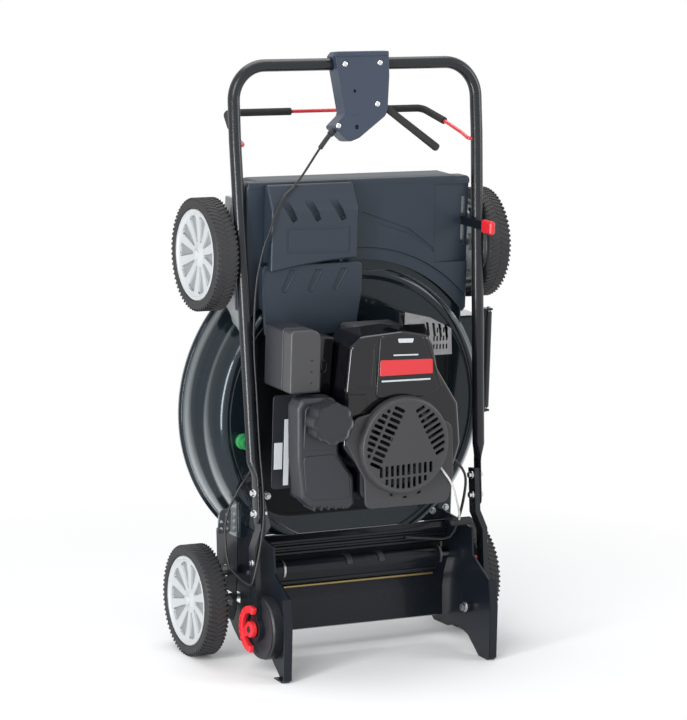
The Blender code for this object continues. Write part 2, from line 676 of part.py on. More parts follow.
def make_front_cover():
    """The moulded fairing over the front frame, open below and at the dome."""
    cover = box((-COVER_HALF_WIDTH, COVER_HALF_WIDTH), (DECK_CENTRE_Y + 0.156, COVER_FRONT_Y),
                (COVER_SKIRT_Z, COVER_TOP_Z), 0.009)
    nose = box((-NOSE_HALF_WIDTH, NOSE_HALF_WIDTH), (FRONT_PIVOT_Y + 0.015, COVER_FRONT_Y + 0.002),
               (NOSE_LOW_Z, COVER_TOP_Z - 0.004), 0.012)
    fuse(cover, nose)
    inner_half = FRAME_HALF_WIDTH + FIT
    room = box((-inner_half, inner_half), (DECK_CENTRE_Y + 0.136, COVER_FRONT_Y - 0.004),
               (NOSE_LOW_Z - 0.02, COVER_TOP_Z - MOULDING))
    cut(cover, room)
    scoop = lathe([(0.0, 0.10), (LIP_RADIUS - 0.0035, 0.10), (LIP_RADIUS - 0.0035, 0.150),
                   (LIP_RADIUS - 0.040, 0.172), (LIP_RADIUS - 0.040, 0.20), (0.0, 0.20)],
                  "z", (0.0, DECK_CENTRE_Y), 30)
    cut(cover, scoop)
    crease = prism(ahead([(0.004, 0.015), (0.100, -0.017), (0.152, -0.053), (0.152, -0.045), (0.102, -0.011),
                          (0.004, 0.021)]), "z", COVER_TOP_Z - 0.0012, COVER_TOP_Z + 0.01)
    cut(cover, crease, box((FRONT_LEVER_X - 0.002, FRONT_LEVER_X + 0.006), LEVER_SWING_Y,
                           (COVER_TOP_Z - 0.02, COVER_TOP_Z + 0.01)))
    axle_notch = box((-COVER_HALF_WIDTH - 0.02, COVER_HALF_WIDTH + 0.02),
                     (WHEELBASE - AXLE_SLOT, WHEELBASE + AXLE_SLOT), (0.100, WHEEL_RADIUS + 0.032))
    return cut(cover, axle_notch, disc("z", (DRIVE_PULLEY_X, FRONT_PIVOT_Y), 0.014, 0.15, 0.18, 16))


def make_belt_cover():
    """The raised drive cover with its bevelled front, step and slanted notches."""
    side = [(0.081, COVER_TOP_Z + FIT), (0.077, COVER_TOP_Z + 0.010), (0.037, BELT_COVER_TOP_Z),
            (-0.053, BELT_COVER_TOP_Z), (-0.063, BELT_STEP_Z), (-0.125, BELT_STEP_Z),
            (-0.193, BELT_STEP_Z - 0.002), (-0.193, COVER_TOP_Z + FIT)]
    cover = prism(from_pivot(side), "x", *BELT_COVER_X)
    shoulder = [(-0.0635, COVER_TOP_Z + FIT), (-0.0635, BELT_STEP_Z - 0.0015), (-0.125, BELT_STEP_Z - 0.0015),
                (-0.191, BELT_STEP_Z - 0.0025), (-0.191, COVER_TOP_Z + FIT)]
    fuse(cover, prism(from_pivot(shoulder), "x", *BELT_SHOULDER_X))
    inside = [(0.073, COVER_TOP_Z - 0.01), (0.073, COVER_TOP_Z + 0.008), (0.035, BELT_COVER_TOP_Z - MOULDING),
              (-0.051, BELT_COVER_TOP_Z - MOULDING), (-0.061, BELT_STEP_Z - MOULDING),
              (-0.125, BELT_STEP_Z - MOULDING), (-0.205, BELT_STEP_Z - 0.0052), (-0.205, COVER_TOP_Z - 0.01)]
    cut(cover, prism(from_pivot(inside), "x", BELT_COVER_X[0] + MOULDING, BELT_COVER_X[1] - MOULDING),
        box((BELT_SHOULDER_X[0] + MOULDING, BELT_SHOULDER_X[1] - MOULDING),
            (FRONT_PIVOT_Y - 0.205, FRONT_PIVOT_Y - 0.0665), (COVER_TOP_Z - 0.01, BELT_STEP_Z - 0.0053)))
    notches = []
    first = BELT_COVER_X[0] + 0.032
    for row_y, low_z, lean, places in ((0.037, BELT_COVER_TOP_Z - 0.0036, 0.010, (first, -0.110, -0.060)),
                                       (-0.085, BELT_STEP_Z - 0.0015, -0.010, (first - 0.005, -0.110, -0.055))):
        for x in places:
            notch = [(x - 0.008 - lean, row_y + 0.022), (x + 0.004 - lean, row_y + 0.022),
                     (x + 0.008 + lean, row_y - 0.018), (x - 0.002 + lean, row_y - 0.018)]
            notches.append(prism(ahead(notch), "z", low_z, BELT_COVER_TOP_Z + 0.01))
    return cut(cover, joined(notches))


part("front_cover", make_front_cover(), "black_matte")
part("belt_cover", make_belt_cover(), "grey_plastic")


# Rear brackets, knuckles and lock levers

def make_bracket(side):
    """The plate that carries handle, rear axle and door, and ends in a storage foot."""
    edge = 0.0005
    foot = -WHEEL_RADIUS
    outline = [(foot + edge, 0.3045), (foot + edge, 0.3347), (foot + 0.0053, 0.3420), (0.001, 0.3405),
               (0.0487, 0.3305), (0.081, 0.268), (0.129, 0.262), (0.136, 0.215), (0.139, 0.1600),
               (0.139, TAIL_TOP_Z + FIT), (TAIL_END_Y - FIT, TAIL_TOP_Z + FIT),
               (TAIL_END_Y - FIT, 0.080), (foot + 0.0616, 0.080), (foot + 0.0406, 0.106), (foot + 0.0256, 0.131),
               (foot + 0.0276, 0.185), (foot + 0.0366, 0.214), (foot + 0.0326, 0.258)]
    outer = BRACKET_X + BRACKET_PLATE
    plate = prism(outline, "x", *sorted((side * BRACKET_X, side * outer)))
    strip = [(foot, 0.304), (foot, 0.3350), (foot + 0.0051, 0.3425), (0.001, 0.341), (0.049, 0.331),
             (0.0475, 0.3280), (0.001, 0.338), (foot + 0.0066, 0.3393), (foot + 0.003, 0.3340),
             (foot + 0.003, 0.304)]
    flange = prism(strip, "x", *sorted((side * (BRACKET_X + 0.001), side * (BRACKET_X + FOOT_FLANGE))))
    tab = box(sorted((side * (BRACKET_X - 0.018), side * (BRACKET_X + 0.002))), (0.1235, 0.1385),
              (TAIL_TOP_Z + 2 * FIT, TAIL_TOP_Z + 0.0033))
    fuse(plate, flange, tab)
    through = sorted((side * (BRACKET_X - 0.02), side * (BRACKET_X + 0.05)))
    cut(plate, box(through, (-0.0085, 0.0130), (0.060, 0.131)))
    for place, radius in (((PIVOT_Y, PIVOT_Z), PIVOT_BOLT_RADIUS + FIT),
                          ((REAR_PIVOT_Y, WHEEL_RADIUS), AXLE_RADIUS + RUNNING),
                          ((DOOR_HINGE_Y, DOOR_HINGE_Z), DOOR_ROD_RADIUS + FIT)):
        cut(plate, disc("x", place, radius, *through, 12))
    return plate


def make_knuckle(side):
    """The round detent drum and its through bolt."""
    inner = BRACKET_X + BRACKET_PLATE + FIT
    drum = lathe([(0.0, inner), (DRUM_RADIUS, inner), (DRUM_RADIUS, DRUM_OUTER_X - 0.004),
                  (DRUM_RADIUS - 0.004, DRUM_OUTER_X), (0.0, DRUM_OUTER_X)], "x", (PIVOT_Y, PIVOT_Z), 18)
    bolt = disc("x", (PIVOT_Y, PIVOT_Z), PIVOT_BOLT_RADIUS, BRACKET_X - 0.004, LOCK_OUTER_X + 0.0008, 12)
    head = disc("x", (PIVOT_Y, PIVOT_Z), 0.010, BRACKET_X - 0.008, BRACKET_X - FIT, 6)
    fuse(drum, bolt, head)
    if side < 0:
        moved(drum, Matrix.Scale(-1, 4, Vector((1, 0, 0))))
        drum.data.flip_normals()
    return drum


def make_lock_lever(side):
    """The red C-shaped lever that frees the handle, turning on the knuckle bolt."""
    inner = DRUM_OUTER_X + BAR_THICKNESS + 3 * FIT
    ends = sorted((side * inner, side * LOCK_OUTER_X))
    outline = []
    for reach, order in ((LOCK_ARC + LOCK_WIDTH / 2, 1), (LOCK_ARC - LOCK_WIDTH / 2, -1)):
        for step in range(11)[::order]:
            turn = math.radians(60 + 215 * step / 10)
            outline.append((PIVOT_Y - reach * math.cos(turn), PIVOT_Z - reach * math.sin(turn)))
    lever = prism(outline, "x", *ends)
    start = math.radians(60)
    web = [(PIVOT_Y - 0.004, PIVOT_Z + 0.010), (PIVOT_Y - 0.012, PIVOT_Z - 0.004),
           (PIVOT_Y - LOCK_ARC * math.cos(start) - 0.005, PIVOT_Z - LOCK_ARC * math.sin(start) + 0.002),
           (PIVOT_Y - LOCK_ARC * math.cos(start) + 0.007, PIVOT_Z - LOCK_ARC * math.sin(start) + 0.002),
           (PIVOT_Y + 0.010, PIVOT_Z - 0.006)]
    fuse(lever, prism(web, "x", ends[0] + 0.0004, ends[1] - 0.0004),
         disc("x", (PIVOT_Y, PIVOT_Z), 0.0145, ends[0] + 0.0002, ends[1] - 0.0002, 14))
    through = (ends[0] - 0.01, ends[1] + 0.01)
    return cut(lever, disc("x", (PIVOT_Y, PIVOT_Z), PIVOT_BOLT_RADIUS + FIT, *through, 12))


for side_name, side in (("left", -1), ("right", 1)):
    part("handle_bracket_" + side_name, make_bracket(side), "black_gloss")
    part("handle_knuckle_" + side_name, make_knuckle(side), "black_matte", (0.0, PIVOT_Y, PIVOT_Z))
    part("lock_lever_" + side_name, make_lock_lever(side), "red", (0.0, PIVOT_Y, PIVOT_Z))


# Rear door, its rod and springs, and the ribbed baffle

def make_rear_door():
    """A pressed flap with a rolled edge round the hinge rod."""
    centre = (DOOR_HINGE_Y, DOOR_HINGE_Z)
    roll = disc("x", centre, DOOR_ROLL_RADIUS, -DOOR_HALF_WIDTH + 0.012, DOOR_HALF_WIDTH - 0.012, 24)
    panel = prism([(DOOR_HINGE_Y, DOOR_HINGE_Z + 0.0155), (DOOR_HINGE_Y - 0.006, DOOR_HINGE_Z + 0.0150),
                   (0.030, 0.1800), (0.0, 0.1765), (DOOR_END_Y, 0.1790), (DOOR_END_Y - 0.004, 0.1700),
                   (DOOR_END_Y - 0.001, 0.1690), (DOOR_END_Y + 0.003, 0.1755), (0.0, 0.1735), (0.030, 0.1765),
                   (DOOR_HINGE_Y - 0.006, DOOR_HINGE_Z + 0.010)],
                  "x", -DOOR_HALF_WIDTH + 0.001, DOOR_HALF_WIDTH - 0.001)
    fuse(roll, panel)
    return cut(roll, disc("x", centre, DOOR_ROD_RADIUS + RUNNING, -BRACKET_X - 0.1, BRACKET_X + 0.1, 16))


def make_baffle():
    """The ribbed cross cover that closes the gap between deck and door."""
    side = [(0.084, 0.150), (0.084, 0.168), (0.087, 0.172), (0.091, 0.172), (0.093, 0.1685), (0.096, 0.1685),
            (0.098, 0.172), (0.102, 0.172), (0.104, 0.1685), (0.107, 0.1685), (0.109, 0.172), (0.113, 0.172),
            (0.116, 0.168), (0.1213, 0.164), (0.1213, 0.150)]
    return prism(side, "x", -BRACKET_X + FIT, BRACKET_X - FIT)


def helix(centre, radius, low, high, turns, per_turn=8):
    """Points of a spring wound about an X axis."""
    count = int(turns * per_turn)
    return [(low + (high - low) * step / count,
             centre[0] + radius * math.cos(2 * math.pi * step / per_turn),
             centre[1] + radius * math.sin(2 * math.pi * step / per_turn)) for step in range(count + 1)]


part("rear_door", make_rear_door(), "black_gloss", (0.0, DOOR_HINGE_Y, DOOR_HINGE_Z))
part("door_hinge_rod", disc("x", (DOOR_HINGE_Y, DOOR_HINGE_Z), DOOR_ROD_RADIUS, -BRACKET_X - 0.012,
                            BRACKET_X + 0.012, 16), "steel")
part("rear_baffle", make_baffle(), "black_gloss")


# Side discharge

def make_deflector():
    """The curved flap over the side chute, hung from a rod."""
    outline = [(HINGE_X - 0.006, 0.136), (HINGE_X + 0.002, 0.1445), (HINGE_X + 0.0065, 0.138),
               (HINGE_X + 0.0100, 0.110), (HINGE_X + 0.0115, 0.066), (HINGE_X + 0.0085, 0.066),
               (HINGE_X + 0.0070, 0.110), (HINGE_X + 0.004, 0.1325)]
    flap = prism(outline, "y", CHUTE_REAR_Y - 0.012, CHUTE_FRONT_Y + 0.008)
    fuse(flap, disc("y", (HINGE_X, HINGE_Z), 0.0065, CHUTE_REAR_Y - 0.010, CHUTE_FRONT_Y + 0.006, 12))
    return cut(flap, disc("y", (HINGE_X, HINGE_Z), HINGE_ROD_RADIUS + RUNNING, CHUTE_REAR_Y - 0.1,
                          CHUTE_FRONT_Y + 0.1, 10))


part("side_deflector", make_deflector(), "black_matte", (HINGE_X, 0.0, HINGE_Z))
part("deflector_rod", disc("y", (HINGE_X, HINGE_Z), HINGE_ROD_RADIUS, CHUTE_REAR_Y - 0.020,
                          CHUTE_FRONT_Y + 0.016, 10), "steel")


# Engine

def shroud_outline(inset=0.0):
    """The blower housing seen from above."""
    corners = [(-0.112, -0.002), (-0.109, 0.100), (-0.103, 0.177), (-0.080, 0.196), (0.000, 0.201),
               (0.052, 0.192), (0.064, 0.174), (0.074, 0.130), (0.117, 0.065), (0.125, -0.010),
               (0.104, -0.080), (0.070, -0.108), (-0.058, -0.108), (-0.076, -0.088), (-0.078, -0.045)]
    middle = Vector((0.0, 0.030))
    shrunk = []
    for x, y in corners:
        away = Vector((x, y)) - middle
        shrunk.append(tuple(middle + away * (1 - inset / away.length)))
    return about_crank(rounded(shrunk, 0.012, 1))


def make_block():
    """Sump, crankcase and finned cylinder on three posts."""
    centre = (0.0, CRANK_Y)
    block = lathe([(0.0, ENGINE_SEAT_Z), (0.088, ENGINE_SEAT_Z), (0.088, ENGINE_SEAT_Z + 0.010),
                   (0.076, ENGINE_SEAT_Z + 0.014), (0.072, 0.236), (0.064, BLOCK_TOP_Z), (0.0, BLOCK_TOP_Z)],
                  "z", centre, 16)
    cylinder = box((-0.036, 0.036), (CRANK_Y + 0.03, CRANK_Y + 0.172), (0.200, 0.2575))
    fins = []
    for number in range(3):
        fin_y = CRANK_Y + 0.092 + 0.0310 * number
        fins.append(box((-0.053, 0.053), (fin_y, fin_y + 0.0045), (0.194, 0.2605)))
    fuse(block, cylinder, joined(fins))
    for post in about_crank([(0.078, 0.030), (0.035, -0.077), (-0.062, -0.058)]):
        fuse(block, disc("z", post, 0.010, DECK_TOP_Z + FIT, ENGINE_SEAT_Z + 0.004, 8))
    fuse(block, box((0.070, 0.140), (FILLER_Y - 0.007, FILLER_Y + 0.007), (0.193, 0.207)),
         disc("z", (FILLER_X, FILLER_Y), 0.011, 0.190, 0.252, 12))
    cut(block, disc("z", (FILLER_X, FILLER_Y), PLUG_RADIUS + RUNNING, 0.205, 0.30, 12))
    return cut(block, disc("z", centre, CRANK_RADIUS + RUNNING, 0.15, 0.30, 14))


def make_shroud():
    """The blower housing, open below and at the recoil intake."""
    shroud = prism(shroud_outline(), "z", SHROUD_LOW_Z, SHROUD_TOP_Z)
    cut(shroud, prism(shroud_outline(MOULDING), "z", SHROUD_LOW_Z - 0.01, SHROUD_TOP_Z - MOULDING))
    for tab_x, tab_y in (((-0.092, -0.050), (CRANK_Y - 0.036, CRANK_Y - 0.020)),
                         ((0.050, 0.121), (CRANK_Y + 0.014, CRANK_Y + 0.030))):
        fuse(shroud, box(tab_x, tab_y, (BLOCK_TOP_Z + FIT, BLOCK_TOP_Z + 0.0045)))
    return cut(shroud, disc("z", (0.0, CRANK_Y), INTAKE_RADIUS, SHROUD_TOP_Z - 0.02, SHROUD_TOP_Z + 0.02, 24))


def make_recoil():
    """The starter cover: a round slotted grille on a square-shouldered base."""
    low = SHROUD_TOP_Z + FIT
    base = [(-0.113, 0.010, 0.010), (-0.074, -0.058, 0.012), (-0.070, -0.113, 0.015), (0.096, -0.113, 0.018),
            (0.106, -0.060, 0.020), (0.100, 0.030, 0.020), (0.0, 0.075, 0.060), (-0.095, 0.052, 0.020)]
    cover = prism(about_crank(rounded(base, 0.012, 2)), "z", low, low + 0.007)
    hat = lathe([(0.0, low + 0.001), (GRILLE_RADIUS, low + 0.001), (GRILLE_RADIUS, RECOIL_TOP_Z - 0.006),
                 (GRILLE_RADIUS - 0.006, RECOIL_TOP_Z), (0.0, RECOIL_TOP_Z)], "z", (0.0, CRANK_Y), 20)
    fuse(cover, hat)
    cut(cover, disc("z", (0.0, CRANK_Y), 0.0745, low - 0.01, RECOIL_TOP_Z - MOULDING, 24))
    slots = []
    low_z, high_z = RECOIL_TOP_Z - MOULDING - 0.002, RECOIL_TOP_Z + 0.002
    rows = ((math.radians(155), 8, 2), (math.radians(270), 9, 2), (math.radians(25), 7, 1))
    for facing, count, columns in rows:
        for number in range(count):
            across = (number - (count - 1) / 2) * SLOT_PITCH
            for column in range(columns):
                near = 0.034 + 0.021 * column if columns == 2 else 0.042
                far = near + (0.017 if columns == 2 else 0.026)
                far = min(far, math.sqrt(max(SLOT_REACH ** 2 - across ** 2, 0.0)))
                if far - near < SLOT_LEAST:
                    continue
                left, right = across - SLOT_WIDTH / 2, across + SLOT_WIDTH / 2
                corners = [(near, left), (far, left), (far, right), (near, right)]
                turned = about_crank([(along * math.cos(facing) - side * math.sin(facing),
                                       along * math.sin(facing) + side * math.cos(facing))
                                      for along, side in corners])
                slots.append(prism(turned, "z", low_z, high_z))
    return cut(cover, joined(slots))


part("engine_block", make_block(), "casting")
part("cylinder_head", box((-0.050, 0.050), (CRANK_Y + 0.172 + FIT, CRANK_Y + 0.196),
                          (0.196, 0.2490), 0.004, 1), "casting")
part("blower_shroud", make_shroud(), "black_gloss")
part("recoil_cover", make_recoil(), "grey_plastic")


# Crankshaft, blade and front drive

def make_flywheel():
    """A finned disc under the recoil intake."""
    centre = (0.0, CRANK_Y)
    wheel = lathe([(CRANK_RADIUS + FIT, 0.272), (FLYWHEEL_RADIUS, 0.272), (FLYWHEEL_RADIUS, 0.298),
                   (0.030, 0.300), (0.026, 0.312), (CRANK_RADIUS + FIT, 0.312)], "z", centre, 18)
    blades = []
    for number in range(9):
        turn = 2 * math.pi * number / 9
        corners = []
        for reach, width in ((0.050, 0.0015), (0.078, 0.0015), (0.078, -0.0015), (0.050, -0.0015)):
            bend = turn + (reach - 0.050) * 9
            corners.append((reach * math.cos(bend) - width * math.sin(bend),
                            CRANK_Y + reach * math.sin(bend) + width * math.cos(bend)))
        blades.append(prism(corners, "z", 0.290, 0.324))
    return fuse(wheel, joined(blades))


def make_crankshaft():
    """The vertical shaft with its blade flange and bolt, and the flywheel nut."""
    centre = (0.0, CRANK_Y)
    low = BLADE_Z + BLADE_THICKNESS + FIT
    shaft = lathe([(0.0, BLADE_Z - 0.011), (0.010, BLADE_Z - 0.011), (0.010, BLADE_Z - 0.003),
                   (0.016, BLADE_Z - 0.003), (0.016, BLADE_Z - FIT), (0.0045, BLADE_Z - FIT), (0.0045, low),
                   (0.028, low), (0.028, low + 0.006), (0.018, low + 0.012), (0.018, low + 0.035),
                   (CRANK_RADIUS, low + 0.036), (CRANK_RADIUS, 0.318), (0.009, 0.320), (0.009, 0.336),
                   (0.0, 0.336)], "z", centre, 12)
    nut = disc("z", centre, 0.015, 0.3205, 0.331, 6)
    return fuse(shaft, nut)


def make_pulley(centre, radius, bore):
    """A grooved belt wheel."""
    core = radius - BELT_THICKNESS / 2 - FIT
    rim = radius + BELT_THICKNESS / 2 + 0.001
    low = BELT_Z - BELT_HEIGHT / 2
    high = BELT_Z + BELT_HEIGHT / 2
    return lathe([(bore, low - 0.0025), (rim, low - 0.0025), (rim, low - 0.0010), (core, low - FIT),
                  (core, high + FIT), (rim, high + 0.0010), (rim, high + 0.0025), (bore, high + 0.0025)],
                 "z", centre, 16)


def make_blade():
    """A flat bar blade with lifted trailing tips."""
    half = BLADE_WIDTH / 2
    bar = prism([(-BLADE_REACH, -half), (BLADE_REACH - 0.02, -half), (BLADE_REACH, -half + 0.015),
                 (BLADE_REACH, half), (-BLADE_REACH + 0.02, half), (-BLADE_REACH, half - 0.015)],
                "z", BLADE_Z, BLADE_Z + BLADE_THICKNESS)
    for side in (-1, 1):
        lift = [(side * (half - 0.012), BLADE_Z), (side * (half - 0.006), BLADE_Z + 0.004),
                (side * (half - 0.001), BLADE_Z + 0.018), (side * (half + 0.002), BLADE_Z + 0.017),
                (side * (half - 0.001), BLADE_Z + 0.001), (side * (half - 0.008), BLADE_Z)]
        ends = sorted((side * (BLADE_REACH - 0.090), side * (BLADE_REACH - 0.001)))
        fuse(bar, prism(lift, "x", *ends))
    cut(bar, disc("z", (0.0, 0.0), 0.0048, BLADE_Z - 0.01, BLADE_Z + 0.02, 16))
    return moved(bar, Matrix.Translation((0.0, CRANK_Y, 0.0)))


def belt_outline(offset):
    """The belt's run round both pulleys, moved in or out from its middle line."""
    first = Vector((0.0, CRANK_Y))
    second = Vector((DRIVE_PULLEY_X, FRONT_PIVOT_Y))
    along = second - first
    heading = math.atan2(along.y, along.x)
    spread = math.acos((ENGINE_PULLEY_RADIUS - DRIVE_PULLEY_RADIUS) / along.length)
    outline = []
    for centre, radius, start, stop in (
            (second, DRIVE_PULLEY_RADIUS, -spread, spread),
            (first, ENGINE_PULLEY_RADIUS, spread, 2 * math.pi - spread)):
        for step in range(17):
            turn = heading + start + (stop - start) * step / 16
            reach = radius + offset
            outline.append((centre.x + reach * math.cos(turn), centre.y + reach * math.sin(turn)))
    return outline


def make_belt():
    """The belt that drives the front wheels."""
    half = BELT_THICKNESS / 2
    low = BELT_Z - BELT_HEIGHT / 2
    high = BELT_Z + BELT_HEIGHT / 2
    belt = prism(belt_outline(half), "z", low, high)
    return cut(belt, prism(belt_outline(-half), "z", low - 0.01, high + 0.01))


def make_gearbox():
    """The sealed reduction gear on the front shaft."""
    top = FRAME_TOP_Z - SHEET - FIT
    case = box((DRIVE_PULLEY_X - 0.045, DRIVE_PULLEY_X + 0.045), (FRONT_PIVOT_Y - 0.029, FRONT_PIVOT_Y + 0.029),
               (0.082, top - 0.006), 0.006, 1)
    fuse(case, disc("z", (DRIVE_PULLEY_X, FRONT_PIVOT_Y), 0.026, top - 0.02, top, 12),
         disc("x", (FRONT_PIVOT_Y, WHEEL_RADIUS), 0.015, DRIVE_PULLEY_X - 0.057, DRIVE_PULLEY_X + 0.057, 12))
    return cut(case, disc("x", (FRONT_PIVOT_Y, WHEEL_RADIUS), SHAFT_RADIUS + RUNNING, DRIVE_PULLEY_X - 0.1,
                          DRIVE_PULLEY_X + 0.1, 16),
               disc("z", (DRIVE_PULLEY_X, FRONT_PIVOT_Y), 0.006 + RUNNING, 0.125, 0.2, 16))


def make_gearbox_pulley():
    """The driven belt wheel with its input shaft."""
    centre = (DRIVE_PULLEY_X, FRONT_PIVOT_Y)
    pulley = make_pulley(centre, DRIVE_PULLEY_RADIUS, 0.004)
    return fuse(pulley, disc("z", centre, 0.006, 0.1256, BELT_Z + 0.009, 16))


def make_drive_shaft():
    """The cross shaft with a pinion inside each front wheel."""
    end = FRONT_HALF_TRACK - TYRE_WIDTH + 0.0145
    shaft = disc("x", (FRONT_PIVOT_Y, WHEEL_RADIUS), SHAFT_RADIUS, -end, end, 16)

    def teeth(number, step):
        return TOOTH_DEPTH if number in (1, 2) and step % 2 else 0.0

    for side in (-1, 1):
        low, high = sorted((side * (end - 0.0105), side * end))
        fuse(shaft, lathe([(0, low), (PINION_RADIUS, low), (PINION_RADIUS, high), (0, high)], "x",
                          (FRONT_PIVOT_Y, WHEEL_RADIUS), 2 * PINION_TEETH, teeth))
    return shaft


crank_axis = (0.0, CRANK_Y, 0.0)
drive_axis = (0.0, FRONT_PIVOT_Y, WHEEL_RADIUS)
part("crankshaft", make_crankshaft(), "steel", crank_axis)
part("flywheel", make_flywheel(), "casting", crank_axis)
part("engine_pulley", make_pulley((0.0, CRANK_Y), ENGINE_PULLEY_RADIUS, CRANK_RADIUS + FIT), "steel",
     crank_axis)
part("blade", make_blade(), "steel", crank_axis)
part("drive_belt", make_belt(), "rubber")
part("gearbox_pulley", make_gearbox_pulley(), "steel", (DRIVE_PULLEY_X, FRONT_PIVOT_Y, 0.0))
part("gearbox", make_gearbox(), "casting")
part("drive_shaft", make_drive_shaft(), "steel", drive_axis)


# Fuel, air and exhaust

def make_tank():
    """The moulded fuel tank with its filler neck."""
    corners = [(TANK_OUTER_X + 0.013, 0.092), (-0.125, 0.089), (-0.119, 0.040), (-0.117, -0.010),
               (-0.101, -0.035), (-0.086, -0.055), (-0.083, -0.105), (-0.095, -0.114),
               (TANK_OUTER_X + 0.033, -0.104), (TANK_OUTER_X + 0.010, -0.085), (TANK_OUTER_X + 0.001, -0.020),
               (TANK_OUTER_X, 0.075)]
    body = prism(about_crank(rounded(corners, 0.012, 1)), "z", TANK_LOW_Z, TANK_TOP_Z)
    neck = disc("z", FUEL_CAP_CENTRE, NECK_RADIUS, TANK_TOP_Z - 0.002, TANK_TOP_Z + 0.012, 24)
    lug = box((-0.125, -0.0698), (CRANK_Y - 0.015, CRANK_Y + 0.015),
              (TANK_LOW_Z - 0.0005, SHROUD_LOW_Z - 0.001))
    fuse(body, neck, lug)
    return cut(body, disc("z", FUEL_CAP_CENTRE, 0.022, TANK_TOP_Z - 0.030, TANK_TOP_Z + 0.02, 24))


def make_fuel_cap():
    """The lobed filler cap that turns on the neck."""
    low = TANK_TOP_Z + 0.004

    def lobes(number, step):
        return 0.0035 * (0.5 - 0.5 * math.cos(8 * 2 * math.pi * step / 32)) if number in (1, 2) else 0.0

    cap = lathe([(0.0, low), (FUEL_CAP_RADIUS - 0.002, low), (FUEL_CAP_RADIUS, FUEL_CAP_TOP_Z - 0.005),
                 (FUEL_CAP_RADIUS - 0.008, FUEL_CAP_TOP_Z), (0.0, FUEL_CAP_TOP_Z)], "z",
                FUEL_CAP_CENTRE, 32, lobes)
    return cut(cap, disc("z", FUEL_CAP_CENTRE, NECK_RADIUS + RUNNING, low - 0.01,
                         TANK_TOP_Z + 0.012 + RUNNING, 24))


def make_filter():
    """The air cleaner housing with a raised snap-on face."""
    body = box((FILTER_OUTER_X, FILTER_INNER_X), (CRANK_Y + 0.098, CRANK_Y + 0.210),
               (0.225, FILTER_TOP_Z - 0.006), 0.008, 1)
    face = box((FILTER_OUTER_X + 0.007, FILTER_INNER_X - 0.007), (CRANK_Y + 0.108, CRANK_Y + 0.200),
               (FILTER_TOP_Z - 0.010, FILTER_TOP_Z), 0.003, 1)
    return fuse(body, face)


def make_carburettor():
    """The mixer body between filter and cylinder, with its float bowl."""
    body = box((FILTER_INNER_X + FIT, -0.053 - FIT), (CRANK_Y + 0.126, CRANK_Y + 0.156),
               (0.212, 0.242), 0.003, 1)
    bowl = disc("z", (-0.105, CRANK_Y + 0.141), 0.019, 0.190, 0.216, 20)
    return fuse(body, bowl)


def make_muffler():
    """The exhaust box on the cylinder's side."""
    plan = [(0.0780, 0.150), (0.115, 0.150), (0.114, 0.184), (0.088, 0.200), (0.066, 0.2075), (0.0740, 0.190)]
    body = prism(about_crank(rounded(plan, 0.006, 2)), "z", 0.206, 0.292)
    return fuse(body, box((0.053 + FIT, 0.085), (CRANK_Y + 0.152, CRANK_Y + 0.168), (0.216, 0.240)),
                box((0.110, 0.1199), (CRANK_Y + 0.156, CRANK_Y + 0.168), (0.224, 0.236)))


def make_guard():
    """The slotted heat guard over the muffler."""
    plan = [(0.026, 0.227), (0.077, 0.215), (0.121, 0.193), (0.124, 0.146), (0.0775, 0.146),
            (0.0765, 0.180), (0.066, 0.2045), (0.026, 0.2045)]
    inner = [(0.020, 0.225), (0.0765, 0.213), (0.119, 0.1915), (0.122, 0.140), (0.070, 0.140), (0.02, 0.195)]
    guard = prism(about_crank(plan), "z", 0.214, GUARD_TOP_Z)
    cut(guard, prism(about_crank(inner), "z", 0.20, GUARD_TOP_Z - 0.002))
    slots = []
    for number in range(2, 6):
        across = 0.044 + 0.0125 * number
        back = 0.2110 - 0.002 * number
        slot = [(across, back), (across + 0.005, back - 0.001), (across + 0.009, back - 0.025),
                (across + 0.004, back - 0.024)]
        slots.append(prism(about_crank(slot), "z", GUARD_TOP_Z - 0.01, GUARD_TOP_Z + 0.01))
    return cut(guard, joined(slots))


def make_dipstick():
    """The oil filler plug beside the shroud."""
    centre = (FILLER_X, FILLER_Y)
    plug = disc("z", centre, PLUG_RADIUS, 0.208, 0.254, 12)
    cap = disc("z", centre, 0.013, 0.252 + FIT, 0.266, 8)
    return fuse(plug, cap)


part("fuel_tank", make_tank(), "black_matte")
part("fuel_cap", make_fuel_cap(), "grey_plastic", (*FUEL_CAP_CENTRE, 0.0))
part("air_filter", make_filter(), "grey_plastic")
part("carburettor", make_carburettor(), "casting")
part("muffler", make_muffler(), "casting")
part("muffler_guard", make_guard(), "chrome")
part("dipstick", make_dipstick(), "red", (FILLER_X, FILLER_Y, 0.0))


# Ropes, cables and small fittings

def make_grip():
    """The starter's T handle, parked against the right bracket."""
    bar = box((BRACKET_X - 0.046, BRACKET_X - FIT), (0.138, 0.152), (0.256, 0.270), 0.004, 1)
    entry = [(GRIP_ROPE_X - 0.0013, 0.160, 0.2642), (GRIP_ROPE_X + 0.0001, 0.1455, 0.2621)]
    return cut(bar, rod(entry, ROPE_RADIUS + 0.0012, 2))


def rope_path():
    """From the recoil cover's eye down to the grip parked on the right bracket."""
    start_y = CRANK_Y - 0.0463
    end_y = 0.166
    return flowing([(0.0768, start_y, 0.3590), (0.104, between(start_y, end_y, 0.2943), 0.3590),
                    (0.122, between(start_y, end_y, 0.4986), 0.347),
                    (0.146, between(start_y, end_y, 0.7586), 0.308),
                    (GRIP_ROPE_X - 0.0021, end_y, 0.2672), (GRIP_ROPE_X - 0.0012, 0.158, 0.2640),
                    (GRIP_ROPE_X - 0.0006, 0.152, 0.2630), (GRIP_ROPE_X, 0.1465, 0.2622)], 20)


